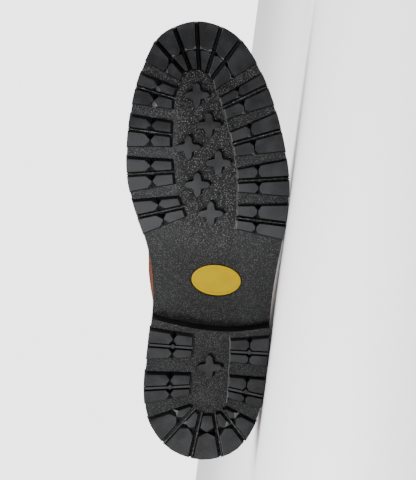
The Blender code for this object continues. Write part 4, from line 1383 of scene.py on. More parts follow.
@dataclass
class Tread:
    """Lugs and studs of the sole, and the block or plate that they stand on."""

    sole: SoleShape
    placement: Placement
    plan: TreadPlan
    floor: float
    groove: float = 2.0 * MM
    proud: float = 0.7 * MM
    root: float = 2.6 * MM
    draft: float = 0.35 * MM
    tip_gap: float = 0.8 * MM
    root_point: float = -0.4
    rounding: float = 0.35 * MM
    rib: tuple[float, float] = (1.0 * MM, 4.0 * MM)
    rib_taper: float = 0.3
    rim: tuple[float, float] = (0.45 * MM, 0.6 * MM)
    point_reach: float = 4.5 * MM
    fan_front: float = 0.6 * MM
    fan_split: float = 0.58
    splits: dict[Side, float] = field(default_factory=dict)
    stud_waist: float = 3.3
    stud_notch: float = 3.1
    stud_breadth: float = 1.04
    stud_draft: float = 0.6 * MM
    # A stud's root is set off from its face towards the toe and the lateral side, so that its walls there
    # slope wide and, in near-black painted shade, stand for its cast shadow.
    stud_root: tuple[float, float] = (0.7 * MM, 1.6 * MM)
    stud_face: tuple[float, float] = (-0.95 * MM, 0.0)
    outline_step: int = 2
    worn_normal: float = -0.55
    side_normal: float = 0.75
    outward_normal: float = 0.5
    tread_slack: float = 0.1 * MM
    meets: list[np.ndarray] = field(default_factory=list)

    def channel_point(self, side: Side, x: float) -> np.ndarray:
        """Point of the channel's edge at a station in millimetres."""
        rows = self.plan.channel
        half = np.interp(x, [row.x for row in rows], [row.half_width(side) for row in rows])
        return np.array((x, side.value * half)) * MM

    @cached_property
    def pair_lines(self) -> list[tuple[Side, Line, Line, Line]]:
        """Side, front line, groove line and back line of each pair of bars."""
        found = []
        for side, rows in self.plan.pairs.items():
            for row in rows:
                places = (
                    (row.outer_front, row.inner_front),
                    (row.outer_groove, row.inner_groove),
                    (row.outer_back, row.inner_back),
                )
                lines = []
                for outer, inner in places:
                    lines.append((self.sole.edge_point(side, outer * MM), self.channel_point(side, inner)))
                found.append((side, *lines))
        return found

    @cached_property
    def fan_lines(self) -> list[Line]:
        """Middles of the fan's grooves, from the sole's edge inwards."""
        lines = []
        for row in self.plan.fan:
            inner = np.array((row.inner_x, row.inner_y)) * MM
            lines.append((self.sole.end_point(self.plan.at_toe, row.outer_y * MM), inner))
        return lines

    @staticmethod
    def shifted(line: Line, distance: float) -> Line:
        """A line in plan moved to its left."""
        along = line[1] - line[0]
        left = np.array((-along[1], along[0])) / np.linalg.norm(along)
        return line[0] + left * distance, line[1] + left * distance

    @staticmethod
    def drawn_in(outline: Sequence[np.ndarray], distances: Sequence[float]) -> np.ndarray:
        """Moves each edge of a polygon inwards, whichever way it runs."""
        polygon, turned = counter_clockwise(outline)
        if not turned:
            return inset(polygon, distances)
        return inset(polygon, [*distances[-2::-1], distances[-1]])[::-1]

    @staticmethod
    def halves(
        bar: Sequence[np.ndarray], meet: np.ndarray, space: float, points: tuple[float, float], flat: float
    ) -> tuple[np.ndarray, np.ndarray]:
        """Cuts the outline of a bar into those of its outer and inner lug.

        Args:
            bar: four points along its outer end, then two along its inner one.
            meet: where the two lugs' points meet.
            space: how far apart the points stay.
            points: how long the outer and the inner point are.
            flat: share of each point that is cut straight across.

        Returns:
            The outer outline and the inner one.
        """
        start, low, high, finish, far, near = bar
        axis = (far + near - start - finish) / 2
        length = float(np.linalg.norm(axis))
        split = (meet - (start + finish) / 2) @ axis / length**2
        gap = space / 2 / length
        cuts = [split - gap - points[0] / length, split - gap, split + gap, split + gap + points[1] / length]
        first = [start + (near - start) * share for share in cuts]
        second = [finish + (far - finish) * share for share in cuts]
        shares = (1 - flat) / 2, (1 + flat) / 2
        outer_tip = [first[1] + (second[1] - first[1]) * share for share in shares]
        inner_tip = [first[2] + (second[2] - first[2]) * share for share in shares]
        outer = [start, low, high, finish, second[0], outer_tip[1], outer_tip[0], first[0]]
        inner = [first[3], *inner_tip, second[3], far, near]
        return np.array(outer), np.array(inner)

    def add_lug(self, root: np.ndarray, tread: np.ndarray) -> None:
        """Adds a lug that stands down from the floor, by its outlines at its root and on the tread."""
        root, turned = counter_clockwise(root)
        tread = tread[::-1] if turned else tread
        Bench.prism(tread, self.floor - self.sole.lug_depth, root, self.floor + self.root)

    def add_bar(self, first: Line, second: Line, split: float, slopes: Slopes) -> None:
        """Adds the outer and the inner lug of a bar, whose pointed ends slope down to blunt roots.

        Args:
            first: line along one side of the bar, from the sole's edge inwards.
            second: line along its other side.
            split: share of the way in at which the points meet on the tread.
            slopes: slopes of its walls.
        """
        root = [first[0], *self.sole.edge_between(first[0], second[0]), second[0], second[1], first[1]]
        walls = [self.draft] * 3 + [slopes.second * MM, slopes.end * MM, slopes.first * MM]
        tread = self.drawn_in(root, walls)
        outer_end, inner_end = (tread[0] + tread[3]) / 2, (tread[4] + tread[5]) / 2
        meet = outer_end + (inner_end - outer_end) * split
        self.meets.append(meet)
        points = slopes.outer_point * MM, slopes.inner_point * MM
        root_points = points[0] * self.root_point, points[1] * self.root_point
        treads = self.halves(tread, meet, self.tip_gap, points, slopes.flat)
        roots = self.halves(root, meet, -self.tip_gap, root_points, slopes.flat)
        for outlines in zip(roots, treads):
            self.add_lug(*outlines)

    def add_pairs(self) -> None:
        """Adds the lugs along both sides."""
        for side, front, groove, back in self.pair_lines:
            to_front = -side.value * self.groove / 2
            front_bar = front, self.shifted(groove, -to_front)
            back_bar = self.shifted(groove, to_front), back
            for lines, slopes in zip((front_bar, back_bar), self.plan.slopes[side]):
                self.add_bar(*lines, self.splits[side], slopes)

    def add_fan(self) -> None:
        """Adds the lugs round the toe or the back of the heel."""
        turn = -self.groove / 2 if self.plan.at_toe else self.groove / 2
        last = len(self.fan_lines) - 2
        for index, (first, second) in enumerate(zip(self.fan_lines, self.fan_lines[1:])):
            slopes = self.plan.fan_slopes
            if index == 0:
                slopes = replace(slopes, first=self.fan_front / MM)
            else:
                first = self.shifted(first, turn)
            if index == last:
                slopes = replace(slopes, second=self.fan_front / MM)
            else:
                second = self.shifted(second, -turn)
            self.add_bar(first, second, self.fan_split, slopes)

    def add_stud(self, spot: tuple[float, float]) -> None:
        """Adds a cross stud with four pointed arms, its face set off from its root so that the wide walls, in
        painted shade, stand for its cast shadow.

        Args:
            spot: its middle, in millimetres.
        """
        arm = [(self.stud_waist, -self.stud_notch), *STUD_ARM]
        corners = []
        for quarter in range(4):
            turn = Matrix.Rotation(quarter * math.pi / 2, 2)
            corners += [turn @ Vector(place) for place in arm]
        points = [(spot[0] + corner.x, spot[1] + corner.y * self.stud_breadth) for corner in corners]
        outline = np.array(points) * MM
        tread = self.drawn_in(outline + np.array(self.stud_face), [self.stud_draft] * len(outline))
        self.add_lug(outline + np.array(self.stud_root), tread)

    def build_lugs(self) -> bpy.types.Object:
        """Models lugs and studs, the edges of their faces rounded.

        Returns:
            The lugs.
        """
        lugs = Bench.empty_piece(f"{self.plan.name}_lugs")
        self.add_pairs()
        self.add_fan()
        for spot in self.plan.studs:
            self.add_stud(spot)
        Bench.outward_faces(lugs)
        Bench.select_faces(lugs, self.on_tread)
        bpy.ops.mesh.bevel(offset=self.rounding, segments=2, affect="EDGES", clamp_overlap=True)
        Bench.clear()
        self.paint(lugs, self.lug_surface)
        return lugs

    def on_tread(self, face: bmesh.types.BMFace) -> bool:
        """Whether a face of the lugs lies on the tread."""
        tread = self.floor - self.sole.lug_depth
        return face.normal.z < DOWNWARDS and abs(face.calc_center_median().z - tread) < self.tread_slack

    def build_ribs(
        self, name: str, lines: Iterable[Line], size: tuple[float, float], surface: Surface
    ) -> bpy.types.Object:
        """Models ribs that stand down from the floor.

        Args:
            name: the piece's name.
            lines: their middles.
            size: their width at the foot, and their height.
            surface: their surface.

        Returns:
            The ribs.
        """
        width, height = size
        ribs = Bench.empty_piece(name)
        for line in lines:
            left, right = self.shifted(line, width / 2), self.shifted(line, -width / 2)
            polygon, _ = counter_clockwise([left[0], left[1], right[1], right[0]])
            tread = inset(polygon, [width * self.rib_taper] * 4)
            Bench.prism(tread, self.floor - height, polygon, self.floor + self.root / 2)
        Bench.outward_faces(ribs)
        self.paint(ribs, lambda face: surface)
        return ribs

    def build_groove_ribs(self, surface: Surface) -> bpy.types.Object:
        """Models the ribs in the grooves between the bars of each pair."""
        grooves = [groove for _, _, groove, _ in self.pair_lines]
        return self.build_ribs(f"{self.plan.name}_ribs", grooves, self.rib, surface)

    def build_rim(self) -> bpy.types.Object:
        """Models the rim along the channel's lateral edge, a light painted highlight line."""
        points = [self.channel_point(Side.LATERAL, x) for x in self.plan.rim]
        return self.build_ribs(f"{self.plan.name}_rim", zip(points, points[1:]), self.rim, Surface.RUBBED)

    @staticmethod
    def paint(piece: bpy.types.Object, surface: Callable[[bpy.types.MeshPolygon], Surface]) -> None:
        """Gives the rubber its finishes.

        Args:
            piece: the rubber piece.
            surface: says which surface each face belongs to.
        """
        piece.data.materials.clear()
        for kind in Surface:
            piece.data.materials.append(RUBBERS[kind].material)
        for face in piece.data.polygons:
            face.material_index = surface(face).value

    def has_painted_highlight(self, face: bpy.types.MeshPolygon, ahead: float) -> bool:
        """Whether a facet of a point gets a painted highlight, by how far it lies ahead of where the points
        meet.
        """
        raise NotImplementedError

    def lug_surface(self, face: bpy.types.MeshPolygon) -> Surface:
        """Surface of a lug's face: the tread rubber, a painted highlight on some point facets and on the
        lateral lugs' inner ends, plain grey on point facets behind where the points meet, and painted shade
        on the other walls.

        Args:
            face: a face of the lugs.

        Returns:
            Its surface.
        """
        if face.normal.z < self.worn_normal:
            return Surface.WORN
        from_meets = np.array(face.center[:2]) - np.array(self.meets)
        distances = np.linalg.norm(from_meets, axis=1)
        ahead = float(from_meets[np.argmin(distances), 0])
        if np.min(distances) > self.point_reach:
            # Away from the points: a painted highlight on the lateral lugs' inner ends, painted shade on the
            # other walls.
            inner_end = face.normal.y < -self.side_normal and face.center.y > 0
            return Surface.RUBBED if inner_end else Surface.WALL
        if self.has_painted_highlight(face, ahead):
            return Surface.RUBBED
        # Point facets behind where the points meet stay plain; those ahead get painted shade.
        return Surface.POINT if ahead < -self.tip_gap / 2 else Surface.WALL


@dataclass
class Outsole(Tread):
    """Forepart and waist of the sole."""

    plug: Plug = field(kw_only=True)
    # Width and height of the near-black strips in the toe fan's grooves, painted shade.
    groove_shade: tuple[float, float] = (4.4 * MM, 1.1 * MM)
    # Places along the sole beyond which outward point facets get a painted highlight.
    highlight_medial_from: float = 240 * MM
    highlight_lateral_from: float = 212 * MM
    splits: dict[Side, float] = field(default_factory=lambda: {Side.MEDIAL: 0.54, Side.LATERAL: 0.604})

    def has_painted_highlight(self, face: bpy.types.MeshPolygon, ahead: float) -> bool:
        """Whether a facet of a point gets a painted highlight: where it faces back, or near the toe where it
        faces outwards behind the points' meeting.
        """
        x, y, _ = face.normal
        if face.center.y > 0:
            outwards = y > self.outward_normal and face.center.x > self.highlight_lateral_from
        else:
            outwards = y < -self.outward_normal and face.center.x > self.highlight_medial_from
        return x < -self.side_normal or (outwards and ahead < 0)

    def plate_surface(self, face: bpy.types.MeshPolygon) -> Surface:
        """Surface of a face of the plate: pebbled underneath, near-black painted shade in the recess, plain
        round the edge.
        """
        if face.normal.z < DOWNWARDS and face.center.z < self.plug.depth / 2:
            return Surface.PEBBLED
        return Surface.WALL if face.center.z < self.plug.depth else Surface.POINT

    def build_plate(self) -> bpy.types.Object:
        """Models the plate with the recess for the inset."""
        outline = grown(self.sole.loop, -self.proud)[::self.outline_step]
        plate = Bench.block("rubber_outsole", outline, 0, outline, self.sole.plate)
        Bench.cut(plate, self.plug.oval("recess", self.plug.slack, 2 * self.plug.depth))
        self.paint(plate, self.plate_surface)
        Bench.slice_along(plate, self.sole.bends)
        return plate

    def build(self) -> None:
        """Models the outsole and lays it down."""
        # The groove ribs' bright pebbles are a painted highlight, and the toe fan's near-black strips are
        # painted shade.
        ribs = self.build_groove_ribs(Surface.RIB)
        groove_shades = self.build_ribs("toe_groove_shades", self.fan_lines[1:-1], self.groove_shade, Surface.WALL)
        rim = self.build_rim()
        piece = Bench.join([self.build_plate(), self.build_lugs(), ribs, groove_shades, rim])
        lift_to_sole(piece, self.sole, 0)
        Bench.smooth(piece, 20)
        settle(piece, self.placement, "rubber", "outsole")


@dataclass
class Heel(Tread):
    """Heel block under the back of the outsole."""

    breast_slope: float = 3.2 * MM
    breast_clear: float = 2 * MM
    breast_points: int = 17
    half_width: float = 42 * MM
    rib: tuple[float, float] = (1.9 * MM, 4.4 * MM)
    rib_taper: float = 0.13
    rim: tuple[float, float] = (0.3 * MM, 0.5 * MM)
    fan_rib: tuple[float, float] = (1.0 * MM, 4.0 * MM)
    fan_rib_shift: float = 0.7 * MM
    fan_front: float = 3.2 * MM
    fan_split: float = 0.61
    stud_root: tuple[float, float] = (1.5 * MM, 0.8 * MM)
    stud_face: tuple[float, float] = (0.0, -0.7 * MM)
    diamond: tuple[float, float] = (2.6 * MM, 3.1 * MM)
    diamond_height: float = 5.1 * MM
    # Place along the sole behind which outward point facets get a painted highlight.
    highlight_behind: float = 38 * MM
    front_normal: float = 0.7
    splits: dict[Side, float] = field(default_factory=lambda: {Side.MEDIAL: 0.57, Side.LATERAL: 0.51})

    def breast(self, y: float) -> float:
        """Place of the heel's front wall at a breadth."""
        return float(smooth_row(y / MM, [row[0] for row in BREAST], [[row[1]] for row in BREAST])[0]) * MM

    def block_surface(self, face: bpy.types.MeshPolygon) -> Surface:
        """Surface of a face of the block: pebbled floor, near-black painted shade on the breast, plain sides.
        """
        if face.normal.z < DOWNWARDS:
            return Surface.PEBBLED
        return Surface.WALL if face.normal.x > self.front_normal else Surface.POINT

    def has_painted_highlight(self, face: bpy.types.MeshPolygon, ahead: float) -> bool:
        """Whether a facet of a point gets a painted highlight: on the fan's end lugs, where it faces
        outwards.
        """
        outwards = math.copysign(face.normal.y, face.normal.y * face.center.y) > self.outward_normal
        return face.center.x < self.highlight_behind and outwards and ahead > 0

    def add_pairs(self) -> None:
        """Adds the lugs along both sides, with a small diamond between the points of each pair of bars."""
        super().add_pairs()
        along, across = self.diamond
        for front, back in zip(self.meets[::2], self.meets[1::2]):
            corners = (front + back) / 2 + np.array(((-along, 0), (0, -across), (along, 0), (0, across)))
            polygon, _ = counter_clockwise(corners)
            tread = inset(polygon, [self.stud_draft] * 4)
            Bench.prism(tread, self.floor - self.diamond_height, polygon, self.floor + self.root / 2)

    def outlines(self) -> tuple[np.ndarray, np.ndarray]:
        """Outlines of the block on its floor and at its top, where the breast stands further forward."""
        loop = grown(self.sole.loop, -self.proud)
        points = loop[::self.outline_step]
        back = [point for point in points if point[0] < self.breast(point[1]) - self.breast_clear]
        medial = sorted((p for p in back if p[1] < self.sole.heel_back_y), key=lambda p: p[0])
        lateral = sorted((p for p in back if p[1] >= self.sole.heel_back_y), key=lambda p: -p[0])
        corners = []
        for side in Side:
            line = self.sole.half(side, loop)[::-1]
            x = self.breast(side.value * self.half_width)
            corners.append((x, float(np.interp(x, line[:, 0], line[:, 1]))))
        ys = np.linspace(corners[0][1], corners[1][1], self.breast_points)
        front = [corners[0]] + [(self.breast(y), y) for y in ys[1:-1]] + [corners[1]]
        top = np.array([*medial, *front, *lateral])
        floor = top.copy()
        floor[len(medial):len(medial) + len(front), 0] -= self.breast_slope
        return floor, top

    def build_block(self) -> bpy.types.Object:
        """Models the block with its sloping breast."""
        floor, top = self.outlines()
        block = Bench.block("rubber_heel", floor, self.floor, top, self.sole.heel_height)
        self.paint(block, self.block_surface)
        return block

    def build(self) -> None:
        """Models the heel and lays it down."""
        block, lugs = self.build_block(), self.build_lugs()
        ribs = self.build_groove_ribs(Surface.POINT)
        # Ribs beside the fan's grooves, in bright-pebbled rubber as a painted highlight.
        beside = [self.shifted(line, self.fan_rib_shift) for line in self.fan_lines[1:-1]]
        fan_ribs = self.build_ribs("heel_fan_ribs", beside, self.fan_rib, Surface.RIB)
        piece = Bench.join([block, lugs, ribs, fan_ribs, self.build_rim()])
        Bench.smooth(piece, 20)
        settle(piece, self.placement, "rubber", "heel")


@dataclass
class Seam:
    """A stitch, modelled once, and the rows that it is copied along."""

    name: str
    finish: ThreadFinish
    placement: Placement
    pitch: float
    length: float
    thickness: float = 0.62 * MM
    sink: float = 0.04 * MM
    stitches: list[bpy.types.Object] = field(default_factory=list)

    def model_stitch(self) -> bpy.types.Object:
        """Models one stitch: a short rounded thread along x, lying on z."""
        Bench.clear()
        along_x = (0, math.pi / 2, 0)
        bpy.ops.mesh.primitive_uv_sphere_add(segments=6, ring_count=5, radius=0.5, rotation=along_x)
        stitch = Bench.named("stitch")
        stitch.scale = (self.thickness, self.thickness, self.length)
        bpy.ops.object.transform_apply()
        bpy.ops.object.shade_smooth()
        stitch.data.materials.append(self.finish.material)
        return stitch

    def add_row(self, line: Sequence[tuple[Vector, Vector]]) -> None:
        """Copies the stitch along a row.

        Args:
            line: points of the row with the surface's normals.
        """
        points = np.array([point for point, _ in line])
        normals = np.array([normal for _, normal in line])
        lengths = running_lengths(points)
        count = int(lengths[-1] / self.pitch)
        for place in (np.arange(count) + 0.5) * lengths[-1] / count:
            places = place - self.length / 2, place + self.length / 2
            ends = [Vector([np.interp(at, lengths, axis) for axis in points.T]) for at in places]
            up = Vector([np.interp(place, lengths, axis) for axis in normals.T]).normalized()
            along = (ends[1] - ends[0]).normalized()
            across = up.cross(along).normalized()
            turn = Matrix((along, across, along.cross(across))).transposed().to_4x4()
            if not self.stitches:
                self.stitches.append(self.model_stitch())
            stitch = Bench.linked(self.name, self.stitches[0].data)
            stitch.matrix_world = Matrix.Translation(sum(ends, Vector()) / 2 - up * self.sink) @ turn
            self.stitches.append(stitch)

    def build(self, slot: str) -> None:
        """Joins the rows into one piece and lays it down."""
        model = self.stitches.pop(0)
        piece = Bench.join(self.stitches)
        bpy.data.objects.remove(model)
        bpy.ops.object.transform_apply()
        settle(piece, self.placement, slot)


@dataclass
class Plates:
    """Leather plates on the outsole: the welt round the upper's foot, and the insole inside it."""

    last: Last
    placement: Placement
    welt_thickness: float = 3.2 * MM
    welt_setback: float = 0.4 * MM
    welt_gap: float = 1.2 * MM
    welt_quarters: float = 164 * MM
    insole_thickness: float = 3 * MM
    insole_slack: float = 1.1 * MM
    rounding: float = 0.5 * MM
    stitch_from_edge: float = 2.1 * MM
    stitch_pitch: float = 4.4 * MM
    stitch_length: float = 3.5 * MM
    stitch_thickness: float = 0.9 * MM

    def finish(self, piece: bpy.types.Object, leather: LeatherFinish) -> None:
        """Rounds a plate's edges, bends it to the sole and gives it its leather."""
        sole = self.last.sole
        Bench.round_edges(piece, self.rounding, 50)
        piece.data.materials.append(leather.material)
        Bench.slice_along(piece, sole.bends)
        lift_to_sole(piece, sole, sole.plate + sole.gap)
        Bench.smooth(piece, 35)

    def build_welt(self) -> None:
        """Models the welt with its seam, and lays them down."""
        sole, loop = self.last.sole, self.last.loop
        wall = np.where(loop[:, 0] > self.welt_quarters, self.last.vamp_wall, self.last.quarter_wall)
        outer = grown(sole.loop, -self.welt_setback)
        piece = Bench.block("leather_welt", outer, 0, outer, self.welt_thickness)
        inner = grown(loop, wall + self.welt_gap)
        Bench.cut(piece, Bench.block("opening", inner, -self.welt_thickness, inner, 2 * self.welt_thickness))
        self.finish(piece, WELT_LEATHER)
        stitch = self.stitch_pitch, self.stitch_length, self.stitch_thickness
        seam = Seam("welt_seam", WELT_THREAD, self.placement, *stitch)
        row = grown(sole.loop, -self.welt_setback - self.stitch_from_edge)
        heights = [sole.top(x) + self.welt_thickness for x, _ in row]
        up = Vector((0, 0, 1))
        line = [(Vector((x, y, z)), up) for (x, y), z in zip(row, heights)]
        seam.add_row([*line, line[0]])
        seam.build("welt_leather")
        settle(piece, self.placement, "welt_leather", "welt")

    def build_insole(self) -> None:
        """Models the insole and lays it down."""
        outline = grown(self.last.loop, -self.insole_slack)
        piece = Bench.block("leather_insole", outline, 0, outline, self.insole_thickness)
        self.finish(piece, INSOLE_LEATHER)
        settle(piece, self.placement, "insole_leather", "insole")


@dataclass
class Throat:
    """Eyelets along both facings, and the lace that runs through them."""

    last: Last
    placement: Placement
    count: int = 7
    from_edge: float = 9 * MM
    foot_room: float = 10 * MM
    head_room: float = 12 * MM
    hole: float = 2.75 * MM
    barrel: float = 2.4 * MM
    bore: float = 1.8 * MM
    flange: float = 4.2 * MM
    crown: float = 1.3 * MM
    drill: float = 14 * MM
    lace_radius: float = 1.7 * MM
    lace_over: float = 2.0
    bulge: float = 4 * MM

    @cached_property
    def feet(self) -> np.ndarray:
        """Ribs at which the eyelets sit."""
        return self.last.throat_feet(self.count, self.foot_room, self.head_room)

    def spots(self) -> Iterator[tuple[str, Matrix]]:
        """Each eyelet's solid and its place on the outside of the facing."""
        for side in Side:
            for number, foot in enumerate(self.feet, 1):
                point, normal = self.last.from_top(side, foot, self.from_edge)
                turn = normal.to_track_quat("Z", "Y").to_matrix().to_4x4()
                name = f"eyelet_{side.name.lower()}_{number}"
                yield name, Matrix.Translation(point + normal * self.last.quarter_wall) @ turn

    def cutters(self) -> bpy.types.Object:
        """Cylinders that cut the eyelets' holes."""
        pins = []
        for _, place in self.spots():
            Bench.clear()
            bpy.ops.mesh.primitive_cylinder_add(vertices=20, radius=self.hole, depth=self.drill)
            bpy.context.object.matrix_world = place
            pins.append(bpy.context.object)
        piece = Bench.join(pins)
        bpy.ops.object.transform_apply()
        return piece

    def model_eyelet(self) -> bpy.types.Object:
        """Models one eyelet: a rolled flange and a barrel."""
        Bench.clear()
        roll = (self.flange - self.bore) / 2
        bpy.ops.mesh.primitive_torus_add(
            major_segments=28, minor_segments=10, major_radius=self.bore + roll, minor_radius=roll
        )
        ring = bpy.context.object
        ring.scale.z = self.crown / 2 / roll
        ring.location.z = self.crown / 2
        bpy.ops.object.transform_apply()
        Bench.clear()
        depth = self.last.quarter_wall + self.crown / 2
        bpy.ops.mesh.primitive_cylinder_add(
            vertices=28, radius=self.barrel, depth=depth, end_fill_type="NOTHING",
            location=(0, 0, self.crown / 2 - depth / 2),
        )
        tube = bpy.context.object
        bpy.ops.object.transform_apply()
        Bench.modify(tube, "SOLIDIFY", thickness=self.barrel - self.bore, offset=-1)
        eyelet = Bench.join([ring, tube])
        eyelet.data.materials.append(EYELET_BRASS.material)
        Bench.smooth(eyelet, 40)
        return eyelet

    def build_eyelets(self) -> None:
        """Models an eyelet and lays a copy at each spot."""
        model = self.model_eyelet()
        for node, place in self.spots():
            piece = Bench.linked(f"brass_{node}", model.data.copy())
            piece.data.name = piece.name
            piece.data.transform(place)
            settle(piece, self.placement, "eyelet_brass", node)
        bpy.data.objects.remove(model)

    def over_throat(
        self, profile: Sequence[tuple[float, float]], start_foot: float, end_foot: float, from_medial: bool
    ) -> list[Vector]:
        """Lays a profile of the lace over the throat.

        Args:
            profile: shares of the way across, and heights over the last in millimetres.
            start_foot: rib that it starts at.
            end_foot: rib that it ends at.
            from_medial: whether it starts on the medial side.

        Returns:
            Points along it.
        """
        points = []
        for share, height in profile:
            foot = start_foot + (end_foot - start_foot) * share
            across = 1 - share if from_medial else share
            point, normal = self.last.across_throat(foot, self.from_edge, across)
            points.append(point + normal * height * MM)
        return points

    def strand(self, start_foot: float, end_foot: float, from_medial: bool, over: bool) -> list[Vector]:
        """Points of one crossing: up out of an eyelet, over the throat and under the other facing.

        Args:
            start_foot: rib of the eyelet that it leaves.
            end_foot: rib of the eyelet that it goes to.
            from_medial: whether it starts on the medial side.
            over: whether it passes over the other strand where they cross.

        Returns:
            The points.
        """
        first, _ = self.last.across_throat(start_foot, self.from_edge, 0)
        second, _ = self.last.across_throat(start_foot, self.from_edge, 1)
        edge = 1 - self.from_edge / ((second - first).length + self.bulge)
        hump = self.lace_over if over else 0.0
        rise = (0.0, 1.2), (0.02, 3.6), (0.06, 5.9), (0.14, 6.9), (0.30, 6.2), (0.5, 5.2 + hump)
        dive = (edge - 0.16, 3.6), (edge - 0.05, 1.0), (edge + 0.04, -0.9)
        end = (0.96, -1.5), (0.995, -0.4), (1.0, 1.2)
        return self.over_throat((*rise, *dive, *end), start_foot, end_foot, from_medial)

    def bar(self) -> list[Vector]:
        """Points of the straight stretch between the lowest eyelets."""
        half = (0.0, 1.2), (0.03, 3.8), (0.10, 5.6), (0.22, 6.2)
        mirrored = [(1 - share, height) for share, height in reversed(half)]
        return self.over_throat((*half, (0.5, 6.0), *mirrored), self.feet[0], self.feet[0], False)

    def build_lace(self) -> None:
        """Models the lace, criss-cross from the lowest eyelets to the top ones, and lays it down."""
        data = bpy.data.curves.new("braided_lace", "CURVE")
        data.dimensions = "3D"
        data.bevel_depth = self.lace_radius
        data.bevel_resolution = 3
        data.resolution_u = 4
        data.use_fill_caps = True
        strands = [self.bar()]
        for low, high in zip(self.feet, self.feet[1:]):
            strands.append(self.strand(low, high, False, True))
            strands.append(self.strand(low, high, True, False))
        for points in strands:
            spline = data.splines.new("BEZIER")
            spline.bezier_points.add(len(points) - 1)
            for knot, point in zip(spline.bezier_points, points):
                knot.co = point
                knot.handle_left_type = knot.handle_right_type = "AUTO"
        Bench.activate(Bench.linked("braided_lace", data))
        bpy.ops.object.convert(target="MESH")
        piece = bpy.context.object
        piece.data.materials.append(LACE_BRAID.material)
        Bench.smooth(piece, 60)
        settle(piece, self.placement, "lace", "lace")


